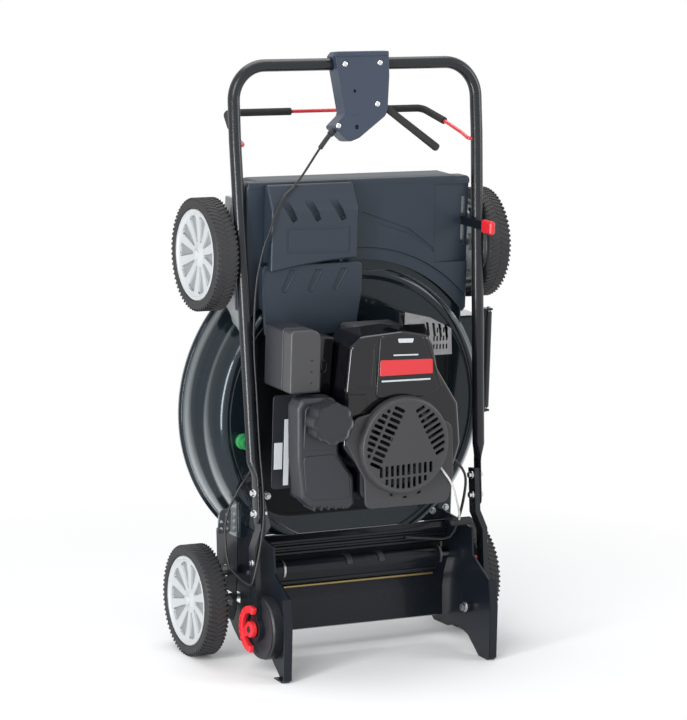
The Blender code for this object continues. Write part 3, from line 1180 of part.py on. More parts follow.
def stop_path():
    """From the engine's brake lever round to the baffle."""
    start_y = CRANK_Y - 0.042
    end_y = 0.105
    return flowing([(0.1265, start_y, 0.300), (0.148, between(start_y, end_y, 0.0925), 0.298),
                    (BRACKET_X - 0.026, between(start_y, end_y, 0.3006), 0.280),
                    (BRACKET_X - 0.013, between(start_y, end_y, 0.7225), 0.240),
                    (BRACKET_X - 0.018, end_y, 0.215),
                    (BRACKET_X - 0.050, 0.098, 0.188), (BRACKET_X - 0.090, 0.100, 0.1753)], 22)


def make_wash_port():
    """The hose fitting on the deck."""
    centre = (0.082 - LIP_RADIUS, DECK_CENTRE_Y - 0.042)
    low = DECK_TOP_Z + FIT
    return lathe([(0.0, low), (0.0145, low), (0.0145, low + 0.005), (0.0115, low + 0.006),
                  (0.0115, low + 0.021), (0.0125, low + 0.022), (0.0125, low + 0.026), (0.007, low + 0.026),
                  (0.007, low + 0.008), (0.0, low + 0.008)], "z", centre, 12)


part("starter_rope", rod(rope_path(), ROPE_RADIUS, 1), "rope")
part("starter_grip", make_grip(), "rubber")
part("stop_cable", rod(stop_path(), CABLE_RADIUS, 1), "rope")
part("deck_wash_port", make_wash_port(), "green")

spring_path = helix((DOOR_HINGE_Y, DOOR_HINGE_Z), SPRING_RADIUS, SPRING_LOW_X, SPRING_HIGH_X, SPRING_TURNS)
print("door spring least self-gap, mm:",
      round(1000 * ((SPRING_HIGH_X - SPRING_LOW_X) / SPRING_TURNS - 2 * SPRING_WIRE), 2))
part("door_spring", rod(spring_path, SPRING_WIRE, 1), "steel")


# Folding handle, in its own frame: X across, Y along the handle, Z towards its upper side

def make_handle():
    """The U-shaped upper tube with flattened lower ends."""
    top = HANDLE_TOP_HALF_WIDTH
    low = HANDLE_LOW_HALF_WIDTH
    path = bent([(-low, TUBE_END, 0.0), (-top, HANDLE_LENGTH - 0.13, 0.0), (-top, HANDLE_LENGTH, 0.0),
                 (top, HANDLE_LENGTH, 0.0), (top, HANDLE_LENGTH - 0.13, 0.0), (low, TUBE_END, 0.0)],
                HANDLE_BEND, 4)
    handle = rod(path, HANDLE_TUBE_RADIUS, 2)
    pin_reach = (top - 0.0190, top - 0.0015)
    for side in (-1, 1):
        tongue = prism([(side * (low - 0.005), TUBE_END + 0.016), (side * (low - 0.005), 0.190),
                        (side * (low - 0.0001), 0.190), (side * (low - 0.0001), TUBE_END - 0.004),
                        (side * (low + 0.008), TUBE_END + 0.016)], "z", -0.0115, 0.0115)
        fuse(handle, tongue)
        pin = sorted((side * pin_reach[0], side * pin_reach[1]))
        cut(handle, disc("x", (BAIL_PIVOT, 0.0), BAIL_ROD_RADIUS + FIT, *pin, 12))
    return handle


def make_bar(side):
    """A flat lower bar: outside the drum below, inside the flattened tube above."""
    outer = DRUM_OUTER_X + FIT + BAR_THICKNESS
    inner = DRUM_OUTER_X + FIT
    upper_outer = HANDLE_LOW_HALF_WIDTH - 0.005 - FIT
    upper_inner = upper_outer - BAR_THICKNESS
    outline = [(side * inner, 0.0), (side * outer, 0.0), (side * outer, 0.145), (side * upper_outer, 0.178),
               (side * upper_outer, 0.256), (side * upper_inner, 0.256), (side * upper_inner, 0.174),
               (side * inner, 0.141)]
    bar = prism(outline, "z", -BAR_WIDTH / 2, BAR_WIDTH / 2)
    fuse(bar, disc("x", (0.0, 0.0), 0.022, *sorted((side * (inner + 0.0001), side * (outer - 0.0001))), 28))
    through = sorted((side * (inner - 0.02), side * (outer + 0.02)))
    return cut(bar, disc("x", (0.0, 0.0), PIVOT_BOLT_RADIUS + FIT, *through, 16))


def make_control():
    """The moulded control bracket clamped on the crossbar."""
    outline = [(-0.054, 0.022), (0.055, 0.022), (0.055, -0.022), (0.050, -0.078), (0.0455, -0.094),
               (-0.0095, -0.133), (-0.030, -0.140), (-0.061, -0.112, 0.003), (-0.036, -0.090)]
    body = prism(rounded(below_bar(outline), 0.007, 1), "z", -0.011, 0.024)
    tube = disc("x", (HANDLE_LENGTH, 0.0), HANDLE_TUBE_RADIUS + FIT, -0.1, 0.1, 24)
    channel = box((-0.1, 0.1), (HANDLE_LENGTH - 0.0108, HANDLE_LENGTH + 0.0108), (-0.02, -0.001))
    fuse(tube, channel)
    cut(body, tube)
    room = [(0.012, -0.045), (0.012, -0.090), (0.040, -0.120), (0.080, -0.140), (0.080, -0.045)]
    slot = prism(below_bar(room), "z", LEVER_LOW - FIT, LEVER_HIGH + FIT)
    cut(slot, disc("z", LEVER_PIVOT, LEVER_PIN_RADIUS, -0.02, 0.03, 12))
    hollow = box((-0.028, 0.034), (HANDLE_LENGTH - 0.120, HANDLE_LENGTH - 0.025), (-0.02, LEVER_LOW - 0.004))
    return cut(body, slot, hollow)


def make_drive_lever():
    """The dark lever that engages the front drive."""
    start = Vector(LEVER_PIVOT)
    end = Vector(LEVER_TIP)
    along = (end - start).normalized()
    across = Vector((-along.y, along.x)) * 0.006
    outline = [tuple(start - across), tuple(end - across), tuple(end + across), tuple(start + across)]
    lever = prism(outline, "z", LEVER_LOW, LEVER_HIGH)
    fuse(lever, disc("z", LEVER_PIVOT, 0.0095, LEVER_LOW + 0.0001, LEVER_HIGH - 0.0001, 14),
         disc("z", LEVER_TIP, 0.0072, LEVER_LOW - 0.001, LEVER_HIGH + 0.001, 14))
    return cut(lever, disc("z", LEVER_PIVOT, LEVER_PIN_RADIUS + FIT, -0.02, 0.03, 16))


def bail_point(x, reach):
    """A point of the bail, swung back from the handle by its open angle."""
    return (x, BAIL_PIVOT + BAIL_REACH * reach * math.cos(BAIL_OPEN),
            -BAIL_REACH * reach * math.sin(BAIL_OPEN))


def bail_path():
    """The whole bail wire from the left pivot pin to the right one."""
    right = [bail_point(x, reach) for x, reach in BAIL_POINTS]
    left = [(-x, s, z) for x, s, z in right]
    return bent(left + right[::-1], 0.016, 2)


def make_bail_grip(side):
    """The foam sleeve round one corner of the bail."""
    whole = [point for point in bail_path() if side * point[0] > 0]
    start = Vector(bail_point(side * GRIP_START_X, 1.0))
    stop = Vector(bail_point(side * (HANDLE_TOP_HALF_WIDTH - 0.026), 0.54))
    kept = [point for point in whole if side * point.x > GRIP_START_X + 0.001 and point.z < stop.z]
    ordered = sorted(kept, key=lambda point: (Vector(point) - start).length)
    path = [start] + ordered + [stop]
    sleeve = rod(path, GRIP_RADIUS, 2)
    before = start + (start - path[1]).normalized() * 0.01
    after = stop + (stop - path[-2]).normalized() * 0.01
    return cut(sleeve, rod([before] + path + [after], BAIL_ROD_RADIUS + 0.0004, 2))


def in_handle(name, solid, finish, pivot=(0.0, 0.0, 0.0)):
    return part(name, solid, finish, pivot, handle_fold)


in_handle("upper_handle", make_handle(), "black_gloss")
in_handle("handle_bar_left", make_bar(-1), "black_matte")
in_handle("handle_bar_right", make_bar(1), "black_matte")
in_handle("control_bracket", make_control(), "grey_plastic")
in_handle("drive_lever", make_drive_lever(), "black_matte", (*LEVER_PIVOT, 0.0))
in_handle("bail", rod(bail_path(), BAIL_ROD_RADIUS, 1), "red", (0.0, BAIL_PIVOT, 0.0))
in_handle("bail_grip_left", make_bail_grip(-1), "rubber", (0.0, BAIL_PIVOT, 0.0))
in_handle("bail_grip_right", make_bail_grip(1), "rubber", (0.0, BAIL_PIVOT, 0.0))

def cable_path():
    """From the control bracket to the left tube and down to the bracket, in the handle's frame."""
    tube = -HANDLE_LOW_HALF_WIDTH
    joint = -ARM_INNER_X
    upper = below_bar([(-0.0600, -0.120, 0.012), (-0.0850, -0.150, 0.014), (tube + 0.0893, -0.213, 0.022),
                       (tube + 0.0601, -0.233, 0.033), (tube + 0.0390, -0.264, 0.0400),
                       (tube + 0.0280, -0.294, 0.0390), (tube + 0.0200, -0.316, 0.0345),
                       (tube + 0.0130, -0.351, 0.026), (tube + 0.0085, -0.396, 0.0165),
                       (tube + 0.0045, -0.490, 0.0105)])
    lower = [(tube + 0.0065, 0.420, 0.0105), (tube + 0.0093, 0.310, 0.0110), (tube + 0.0103, 0.262, 0.0152),
             (tube + 0.0103, 0.200, 0.0152), (joint + 0.0125, 0.160, 0.0152), (joint + 0.0045, 0.125, 0.0155),
             (joint - 0.0020, 0.100, 0.0152), (joint - 0.0050, 0.086, 0.0115)]
    return flowing(upper + lower, 34)


def loop_path():
    """From the left knuckle round the bracket and forward over the deck to the belt cover."""
    joint = -ARM_INNER_X
    return flowing([(joint - 0.0057, 0.0630, 0.2590), (joint - 0.0065, 0.0600, 0.2330),
                    (joint - 0.0115, 0.0680, 0.2080), (joint - 0.0147, 0.0800, 0.1840),
                    (joint - 0.0147, 0.1150, 0.1660)]
                   + [(joint + x, between(TAIL_END_Y, DECK_CENTRE_Y, share), z) for x, share, z in (
                       (-0.0105, 0.1937, 0.1600), (0.0075, 0.4189, 0.1680), (0.0325, 0.5766, 0.1650),
                       (0.0425, 0.7568, 0.1612), (0.0425, 0.9820, 0.1612))], 26)


in_handle("drive_cable", rod(cable_path(), CABLE_RADIUS, 1), "rubber")
part("drive_cable_loop", rod(loop_path(), CABLE_RADIUS, 1), "rubber")
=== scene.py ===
"""Looks of a self-propelled lawn mower stood on end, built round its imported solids.

Lengths are metres. Pieces are modelled in the mowing position (x to the mower's right,
y forward, z up, ground at z = 0, rear axle at y = 0) and then stood up with the machine.
Handle pieces are modelled along the folded handle: x across, y up the handle from its
fold axis, z towards the side that faces the engine's viewer.
"""
import math
from contextlib import contextmanager

import bmesh
import bpy
from mathutils import Matrix, Vector


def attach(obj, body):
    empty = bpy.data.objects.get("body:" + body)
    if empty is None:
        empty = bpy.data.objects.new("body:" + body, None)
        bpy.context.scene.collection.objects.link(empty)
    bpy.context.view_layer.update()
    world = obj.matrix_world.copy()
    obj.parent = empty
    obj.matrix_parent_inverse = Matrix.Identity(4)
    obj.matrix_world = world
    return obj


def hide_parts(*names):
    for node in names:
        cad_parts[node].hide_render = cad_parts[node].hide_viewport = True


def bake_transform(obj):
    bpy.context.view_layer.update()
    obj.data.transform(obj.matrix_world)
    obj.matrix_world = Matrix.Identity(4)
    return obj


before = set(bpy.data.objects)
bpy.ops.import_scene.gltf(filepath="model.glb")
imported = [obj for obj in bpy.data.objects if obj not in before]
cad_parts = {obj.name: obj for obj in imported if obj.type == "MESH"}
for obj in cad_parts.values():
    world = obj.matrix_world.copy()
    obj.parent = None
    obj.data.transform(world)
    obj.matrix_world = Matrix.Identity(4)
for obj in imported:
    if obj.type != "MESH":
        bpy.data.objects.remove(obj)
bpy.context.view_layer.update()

# The machine's own measures
WHEEL_RADIUS = 0.1016
TYRE_WIDTH = 0.045
RIM_RADIUS = 0.082
WHEELBASE = 0.635
FRONT_HALF_TRACK = 0.298
REAR_HALF_TRACK = 0.302
HALF_DEPTH = 0.195
DECK_CENTRE_Y = 0.344
DECK_TOP = 0.158
CRANK_Y = 0.32
SHROUD_LOW = 0.25
SHROUD_TOP = 0.349
GRILLE_TOP = 0.3716
FOLD_Y = -0.0186
FOLD_Z = 0.2616
HANDLE_LEAN = math.radians(7.3)
TUBE_RADIUS = 0.0111
CROSSBAR = 1.0        # fold axis to crossbar
TOP_HALF_WIDTH = 0.244
SIDES = (("left", -1), ("right", 1))

STAND = Matrix.Translation((0, HALF_DEPTH, WHEEL_RADIUS)) @ Matrix.Rotation(math.radians(90), 4, "X")
FOLD = STAND @ Matrix.Translation((0, FOLD_Y, FOLD_Z)) @ Matrix.Rotation(-HANDLE_LEAN, 4, "X")


# Camera, floor and lamps

CAMERA_PLACE = Vector((-2.673, -5.1206, 1.6105))
CAMERA_RIGHT = Vector((0.891249, -0.452674, 0.027576))
CAMERA_UP = Vector((0.058082, 0.174236, 0.982989))
LENS = 162.5
FLOOR_GLOW_NEAR = 0.04      # share of plain white in the floor under the machine
FLOOR_GLOW_FAR = 1.0
FLOOR_GLOW_REACH = (0.35, 1.3)
FLOOR_COLOUR = (0.88, 0.88, 0.88, 1)
FLOOR_BACK = 4          # the floor's middle lies behind the machine
WHITE = (1, 1, 1, 1)
SKY_COLOUR = (0.94, 0.97, 1.0, 1)
SKY_STRENGTH = 0.55
LAMP_AIM = Vector((0, 0, 0.5))
# Each lamp: name, place, width, height, power and its share in matt surfaces
LAMPS = (("key", (-2.6, -2.4, 2.9), 1.7, 1.7, 62, 1.0), ("side", (2.8, -1.6, 1.7), 1.3, 1.3, 26, 1.0),
         ("top", (0.2, 0.6, 3.2), 2.2, 2.2, 40, 1.0), ("strip", (-1.35, -0.75, 0.52), 0.26, 1.0, 17, 0.25))


def set_camera():
    """The photograph's own long-lens view from the front left."""
    camera = bpy.data.objects.new("camera", bpy.data.cameras.new("camera"))
    bpy.context.scene.collection.objects.link(camera)
    camera.data.lens = LENS
    camera.data.sensor_width = 36
    back = CAMERA_RIGHT.cross(CAMERA_UP)
    turn = Matrix((CAMERA_RIGHT, CAMERA_UP, back)).transposed()
    camera.matrix_world = Matrix.Translation(CAMERA_PLACE) @ turn.to_4x4()
    camera.data.clip_end = 60
    bpy.context.scene.camera = camera
    bpy.context.scene.view_settings.view_transform = "Standard"


def add(tree, kind, settings=None, inputs=None):
    """Place a node; an input is a plain value or another node's output."""
    node = tree.nodes.new(kind)
    for key, value in (settings or {}).items():
        setattr(node, key, value)
    for key, value in (inputs or {}).items():
        if isinstance(value, bpy.types.NodeSocket):
            tree.links.new(value, node.inputs[key])
        else:
            node.inputs[key].default_value = value
    return node


def maths(tree, operation, *values, clamp=False):
    """The result of one step of arithmetic."""
    settings = {"operation": operation, "use_clamp": clamp}
    return add(tree, "ShaderNodeMath", settings, dict(enumerate(values))).outputs[0]


def ranged(tree, value, low, high, start=0.0, end=1.0):
    """A value carried from one range to another and held inside it."""
    return add(tree, "ShaderNodeMapRange", None, {"Value": value, "From Min": low, "From Max": high,
                                                  "To Min": start, "To Max": end}).outputs[0]


def mixed(tree, factor, first, second):
    """A blend of two colours."""
    return add(tree, "ShaderNodeMix", {"data_type": "RGBA"}, {0: factor, 6: first, 7: second}).outputs[2]


def noise(tree, where, scale, detail, **others):
    """Cloudy noise from 0 to 1."""
    values = {"Vector": where, "Scale": scale, "Detail": detail, **others}
    return add(tree, "ShaderNodeTexNoise", None, values).outputs["Fac"]


def object_place(tree):
    """Where a point lies on its object."""
    return add(tree, "ShaderNodeTexCoord").outputs["Object"]


def seen_directly(tree):
    """1 for what the camera sees straight, mirrored or through glass, else 0."""
    path = add(tree, "ShaderNodeLightPath").outputs
    first = maths(tree, "MAXIMUM", path["Is Camera Ray"], path["Is Glossy Ray"])
    return maths(tree, "MAXIMUM", first, path["Is Transmission Ray"])


def set_studio():
    """White surroundings, a pale floor that keeps the shadow, and four soft lamps."""
    world = bpy.data.worlds.new("studio")
    bpy.context.scene.world = world
    world.use_nodes = True
    tree = world.node_tree
    tree.nodes.clear()
    soft = add(tree, "ShaderNodeBackground", None, {"Color": SKY_COLOUR, "Strength": SKY_STRENGTH})
    white = add(tree, "ShaderNodeBackground", None, {"Color": WHITE, "Strength": 1.0})
    mix = add(tree, "ShaderNodeMixShader", None, {0: seen_directly(tree), 1: soft.outputs[0],
                                                  2: white.outputs[0]})
    add(tree, "ShaderNodeOutputWorld", None, {"Surface": mix.outputs[0]})

    bpy.ops.mesh.primitive_plane_add(size=24, location=(0, FLOOR_BACK, 0))
    floor = bpy.context.object
    floor.name = "floor"
    paint = bpy.data.materials.new("studio_floor")
    paint.use_nodes = True
    tree = paint.node_tree
    tree.nodes.clear()
    matt = add(tree, "ShaderNodeBsdfDiffuse", None, {"Color": FLOOR_COLOUR})
    glow = add(tree, "ShaderNodeEmission", None, {"Color": WHITE, "Strength": 1.0})
    centred = add(tree, "ShaderNodeVectorMath", {"operation": "ADD"},
                  {0: object_place(tree), 1: (0, FLOOR_BACK, 0)})
    away = add(tree, "ShaderNodeVectorMath", {"operation": "LENGTH"},
               {0: centred.outputs[0]}).outputs["Value"]
    share = ranged(tree, away, *FLOOR_GLOW_REACH, FLOOR_GLOW_NEAR, FLOOR_GLOW_FAR)
    both = maths(tree, "MULTIPLY", seen_directly(tree), share)
    mix = add(tree, "ShaderNodeMixShader", None, {0: both, 1: matt.outputs[0], 2: glow.outputs[0]})
    add(tree, "ShaderNodeOutputMaterial", None, {"Surface": mix.outputs[0]})
    floor.data.materials.append(paint)

    for name, place, width, height, power, diffuse in LAMPS:
        lamp = bpy.data.objects.new(name, bpy.data.lights.new(name, "AREA"))
        bpy.context.scene.collection.objects.link(lamp)
        lamp.data.shape = "RECTANGLE"
        lamp.data.size = width
        lamp.data.size_y = height
        lamp.data.energy = power
        lamp.data.diffuse_factor = diffuse
        lamp.location = place
        lamp.rotation_euler = (LAMP_AIM - Vector(place)).to_track_quat("-Z", "Y").to_euler()


# Shared surface effects

def new_group(name, inputs, outputs):
    """An empty shader group: its tree, what it is given, and what it puts out."""
    tree = bpy.data.node_groups.new(name, "ShaderNodeTree")
    for label, value in inputs.items():
        socket = tree.interface.new_socket(name=label, in_out="INPUT", socket_type="NodeSocketFloat")
        socket.default_value = value
    for label in outputs:
        tree.interface.new_socket(name=label, in_out="OUTPUT", socket_type="NodeSocketFloat")
    return tree, tree.nodes.new("NodeGroupInput").outputs, tree.nodes.new("NodeGroupOutput").inputs


def make_moulded_grain():
    """Fine spark-eroded grain of a moulding, and its slow change of tone."""
    tree, given, out = new_group("moulded_grain", {"Size": 0.001, "Patch": 0.08}, ("Height", "Tone"))
    where = object_place(tree)
    fine = maths(tree, "DIVIDE", 1.0, given["Size"])
    wide = maths(tree, "DIVIDE", 1.0, given["Patch"])
    pits = add(tree, "ShaderNodeTexVoronoi", {"feature": "SMOOTH_F1"},
               {"Vector": where, "Scale": fine, "Smoothness": 0.6}).outputs["Distance"]
    high = maths(tree, "MULTIPLY_ADD", pits, 0.7, noise(tree, where, fine, 3.0))
    tree.links.new(high, out["Height"])
    tree.links.new(noise(tree, where, wide, 5.0, Roughness=0.6), out["Tone"])
    return tree


def make_handling():
    """Faint smears of handling and dust, as a change of roughness and a dust mask."""
    tree, given, out = new_group("handling", {"Smear": 0.1, "Dust": 0.1}, ("Roughness", "Dust"))
    where = object_place(tree)
    stretched = add(tree, "ShaderNodeMapping", None, {"Vector": where, "Scale": (9.0, 14.0, 4.0)}).outputs[0]
    smears = maths(tree, "SUBTRACT", noise(tree, stretched, 2.0, 6.0, Roughness=0.65, Distortion=0.8), 0.5)
    specks = ranged(tree, noise(tree, where, 900.0, 2.0), 0.6, 0.75)
    tree.links.new(maths(tree, "MULTIPLY", smears, given["Smear"]), out["Roughness"])
    tree.links.new(maths(tree, "MULTIPLY", specks, given["Dust"]), out["Dust"])
    return tree


def make_flake():
    """Metal flakes under a clear lacquer: a brightness for each tiny cell."""
    tree, given, out = new_group("metal_flake", {"Size": 0.0006, "Spread": 0.5}, ("Sparkle",))
    fine = maths(tree, "DIVIDE", 1.0, given["Size"])
    cells = add(tree, "ShaderNodeTexVoronoi", None, {"Vector": object_place(tree),
                                                     "Scale": fine}).outputs["Color"]
    single = add(tree, "ShaderNodeSeparateColor", None, {0: cells}).outputs[0]
    bright = ranged(tree, single, 0.35, 1.0)
    tree.links.new(maths(tree, "MULTIPLY", bright, given["Spread"]), out["Sparkle"])
    return tree


def make_drawn_lines():
    """Fine lines of rolled or drawn steel along x."""
    tree, given, out = new_group("drawn_lines", {"Spacing": 0.0006}, ("Height", "Tone"))
    where = object_place(tree)
    fine = maths(tree, "DIVIDE", 1.0, given["Spacing"])
    long = add(tree, "ShaderNodeMapping", None, {"Vector": where, "Scale": (0.03, 1.0, 1.0)}).outputs[0]
    tree.links.new(noise(tree, long, fine, 2.0), out["Height"])
    tree.links.new(noise(tree, where, 38.0, 4.0), out["Tone"])
    return tree


GRAIN = make_moulded_grain()
HANDLING = make_handling()
FLAKE = make_flake()
DRAWN = make_drawn_lines()
DUST_COLOUR = (0.42, 0.41, 0.39, 1)
# Pale grey for a painted sheen: colour standing in for reflections of the white surroundings at grazing
# angles
PAINTED_SHEEN_COLOUR = (0.5, 0.54, 0.56, 1)


def effect(tree, group, **values):
    """Put a shared effect into a material with its own values."""
    node = tree.nodes.new("ShaderNodeGroup")
    node.node_tree = group
    for label, value in values.items():
        node.inputs[label].default_value = value
    return node.outputs


def shade(tree, colour, factor, spread):
    """A colour that moves lighter and darker with a factor from 0 to 1."""
    dark = tuple(channel * (1 - spread) for channel in colour) + (1,)
    light = tuple(min(1.0, channel * (1 + spread)) for channel in colour) + (1,)
    return mixed(tree, factor, dark, light)


def material(name, colour, roughness, metallic=0.0, grain=0.0009, relief=0.00005, tone=0.05, patch=0.09,
             smear=0.05, dust=0.004, flake=0.0, drawn=0.0, coat=0.0, coat_roughness=0.06,
             specular=0.5, painted_sheen=0.0):
    """A surface built from the shared effects, each with this finish's own values, and an optional painted
    sheen that pales the colour towards grazing angles.
    """
    made = bpy.data.materials.new(name)
    made.use_nodes = True
    tree = made.node_tree
    surface = effect(tree, DRAWN, Spacing=drawn) if drawn else effect(tree, GRAIN, Size=grain, Patch=patch)
    handled = effect(tree, HANDLING, Smear=smear, Dust=dust)
    base = shade(tree, colour, surface["Tone"], tone)
    if flake:
        bright = tuple(min(1.0, channel * 3.2 + 0.04) for channel in colour) + (1,)
        base = mixed(tree, effect(tree, FLAKE, Spread=flake)["Sparkle"], base, bright)
    base = mixed(tree, handled["Dust"], base, DUST_COLOUR)
    # Painted sheen: towards grazing angles the base colour is mixed towards pale grey, standing in for
    # reflected light
    if painted_sheen:
        facing = add(tree, "ShaderNodeLayerWeight", None, {"Blend": 0.5}).outputs["Facing"]
        base = mixed(tree, ranged(tree, facing, 0.36, 0.8, 0.0, painted_sheen), base, PAINTED_SHEEN_COLOUR)
    bump = add(tree, "ShaderNodeBump", None, {"Height": surface["Height"], "Distance": relief,
                                              "Strength": 1.0})
    shader = tree.nodes["Principled BSDF"].inputs
    tree.links.new(base, shader["Base Color"])
    tree.links.new(maths(tree, "ADD", handled["Roughness"], roughness, clamp=True), shader["Roughness"])
    tree.links.new(bump.outputs[0], shader["Normal"])
    shader["Metallic"].default_value = metallic
    shader["Specular IOR Level"].default_value = specular
    shader["Coat Weight"].default_value = coat
    shader["Coat Roughness"].default_value = coat_roughness
    return made


tyre_rubber = material("tyre_rubber", (0.02, 0.02, 0.022), 0.62, grain=0.0012, relief=0.0001,
                       tone=0.12, dust=0.02)
rim_silver = material("rim_silver", (0.5, 0.52, 0.53), 0.42, metallic=0.2, relief=0.00002, tone=0.03)
# Darker grey for the rims' sunk panels: painted shade in the recesses between the spokes
rim_panel_shade = material("rim_panel_shade", (0.27, 0.285, 0.295), 0.5, metallic=0.2, relief=0.00002, tone=0.05)
# The deck paint carries a painted sheen: its walls turn pale grey where they face away from the camera
deck_paint = material("deck_paint", (0.007, 0.013, 0.018), 0.2, metallic=0.45, relief=0.000002, tone=0.05,
                      flake=0.16, coat=0.45, coat_roughness=0.05, specular=0.16, painted_sheen=0.85)
gloss_paint = material("gloss_paint", (0.006, 0.008, 0.012), 0.26, relief=0.000004, coat=0.15, specular=0.22)
tube_paint = material("tube_paint", (0.007, 0.009, 0.012), 0.27, relief=0.0000001, smear=0.02, coat=0.2,
                      coat_roughness=0.16, specular=0.36)
fairing_plastic = material("fairing_plastic", (0.015, 0.025, 0.039), 0.42, relief=0.00005, specular=0.4)
belt_plastic = material("belt_plastic", (0.021, 0.03, 0.044), 0.4, relief=0.00005, specular=0.4)
shroud_plastic = material("shroud_plastic", (0.004, 0.004, 0.006), 0.09, relief=0.000003, coat=0.4,
                          smear=0.03, specular=0.3)
matt_plastic = material("matt_plastic", (0.012, 0.014, 0.018), 0.46, grain=0.0011, relief=0.00006, tone=0.08)
tank_plastic = material("tank_plastic", (0.016, 0.018, 0.024), 0.44, grain=0.0011, relief=0.00006, tone=0.06)
recoil_plastic = material("recoil_plastic", (0.034, 0.034, 0.037), 0.44, grain=0.001, relief=0.00006)
control_plastic = material("control_plastic", (0.03, 0.043, 0.072), 0.4, relief=0.00004)
zinc = material("zinc", (0.5, 0.51, 0.52), 0.34, metallic=1.0, drawn=0.0007, relief=0.00003, tone=0.15)
bright_steel = material("bright_steel", (0.72, 0.72, 0.73), 0.18, metallic=1.0, drawn=0.0009,
                        relief=0.00002, tone=0.08)
dented_steel = material("dented_steel", (0.27, 0.27, 0.28), 0.22, metallic=1.0, grain=0.011, relief=0.0016,
                        tone=0.35, patch=0.02)
cast_metal = material("cast_metal", (0.16, 0.16, 0.17), 0.55, metallic=0.85, grain=0.0016,
                      relief=0.00022, tone=0.2)
dark_iron = material("dark_iron", (0.06, 0.06, 0.06), 0.6, metallic=0.7, grain=0.0016,
                     relief=0.0002, tone=0.3)
red_moulding = material("red_moulding", (0.7, 0.02, 0.03), 0.36, relief=0.00004)
red_lacquer = material("red_lacquer", (0.62, 0.016, 0.024), 0.26, relief=0.000006, coat=0.5)
green_moulding = material("green_moulding", (0.02, 0.22, 0.06), 0.38, relief=0.00005)
soft_rubber = material("soft_rubber", (0.012, 0.012, 0.013), 0.7, grain=0.0013, relief=0.0001)
foam = material("foam", (0.011, 0.011, 0.012), 0.8, grain=0.0008, relief=0.0003, tone=0.15)
cable_jacket = material("cable_jacket", (0.01, 0.01, 0.011), 0.38, relief=0.00002)
white_rope = material("white_rope", (0.62, 0.62, 0.6), 0.8, grain=0.0013, relief=0.0004, tone=0.12)
bare_strip = material("bare_strip", (0.55, 0.58, 0.6), 0.4, relief=0.00001, tone=0.03)
tray_paint = material("tray_paint", (0.003, 0.004, 0.005), 0.45, relief=0.00001, specular=0.15)
bracket_paint = material("bracket_paint", (0.006, 0.009, 0.014), 0.32, relief=0.000006,
                         coat=0.12, specular=0.22)
grey_steel = material("grey_steel", (0.11, 0.12, 0.13), 0.42, metallic=0.8, drawn=0.0008,
                      relief=0.00002, tone=0.12)
lid_plastic = material("lid_plastic", (0.042, 0.042, 0.046), 0.42, grain=0.0011, relief=0.00006, tone=0.06)
# Gold metal for a painted reflection line just below the rear door's rod
brass = material("brass", (0.33, 0.25, 0.11), 0.36, metallic=1.0, drawn=0.0007, relief=0.00002, tone=0.1)


# Ways of making a piece

def alone(piece):
    """Make one piece the only thing selected."""
    bpy.ops.object.select_all(action="DESELECT")
    piece.select_set(True)
    bpy.context.view_layer.objects.active = piece


@contextmanager
def editing(piece):
    """Work on a piece in edit mode, starting with nothing selected."""
    alone(piece)
    bpy.ops.object.mode_set(mode="EDIT")
    bpy.ops.mesh.select_all(action="DESELECT")
    yield
    bpy.ops.object.mode_set(mode="OBJECT")


def choose(test):
    """Select the faces whose middle and normal pass a test."""
    mesh = bmesh.from_edit_mesh(bpy.context.edit_object.data)
    bpy.ops.mesh.select_mode(type="FACE")
    for face in mesh.faces:
        face.select_set(bool(test(face.calc_center_median(), face.normal)))
    bmesh.update_edit_mesh(bpy.context.edit_object.data)


def tidy_normals():
    """Weld a mesh being edited and turn all its faces outwards."""
    bpy.ops.mesh.select_mode(type="VERT")
    bpy.ops.mesh.select_all(action="SELECT")
    bpy.ops.mesh.remove_doubles(threshold=0.00001)
    bpy.ops.mesh.normals_make_consistent(inside=False)


def edge_line(name, points, closed=True):
    """A piece that is only a line of edges so far."""
    mesh = bpy.data.meshes.new(name)
    count = len(points)
    mesh.from_pydata(points, [(i, (i + 1) % count) for i in range(count if closed else count - 1)], [])
    piece = bpy.data.objects.new(name, mesh)
    bpy.context.scene.collection.objects.link(piece)
    return piece


AXES = {"x": Matrix(((0, 0, 1), (1, 0, 0), (0, 1, 0))), "y": Matrix(((1, 0, 0), (0, 0, 1), (0, 1, 0))),
        "z": Matrix.Identity(3)}


def plate(name, outline, low, high, axis="z"):
    """An outline filled and pulled to its thickness along an axis."""
    turn = AXES[axis]
    piece = edge_line(name, [turn @ Vector((a, b, low)) for a, b in outline])
    with editing(piece):
        bpy.ops.mesh.select_all(action="SELECT")
        bpy.ops.mesh.edge_face_add()
        bpy.ops.mesh.extrude_region_move(TRANSFORM_OT_translate={"value": turn @ Vector((0, 0, high - low))})
        tidy_normals()
    return piece


def slab(name, outline, corner, levels, edge=None, axis="z"):
    """A plate: its corners are (radius, steps), its levels (low, high), its edge (width, segments, angle)."""
    piece = plate(name, rounded(outline, *corner), *levels, axis=axis)
    return soften(piece, *edge) if edge else piece


def spread_round(piece, count):
    """Repeat a piece evenly round the z axis."""
    with editing(piece):
        bpy.ops.mesh.select_all(action="SELECT")
        bpy.ops.mesh.spin(steps=count - 1, dupli=True, angle=2 * math.pi * (count - 1) / count,
                          center=(0, 0, 0), axis=(0, 0, 1))


def turned(name, profile, steps, axis="z", centre=(0.0, 0.0), closed=False):
    """A (radius, height) profile spun about an axis through a cross-plane centre."""
    turn = AXES[axis]
    piece = edge_line(name, [(radius, 0.0, height) for radius, height in profile], closed)
    with editing(piece):
        bpy.ops.mesh.select_all(action="SELECT")
        bpy.ops.mesh.spin(steps=steps, angle=2 * math.pi, center=(0, 0, 0), axis=(0, 0, 1))
        tidy_normals()
    piece.data.transform(Matrix.Translation(turn @ Vector((*centre, 0.0))) @ turn.to_4x4())
    if turn.determinant() < 0:
        piece.data.flip_normals()
    return piece


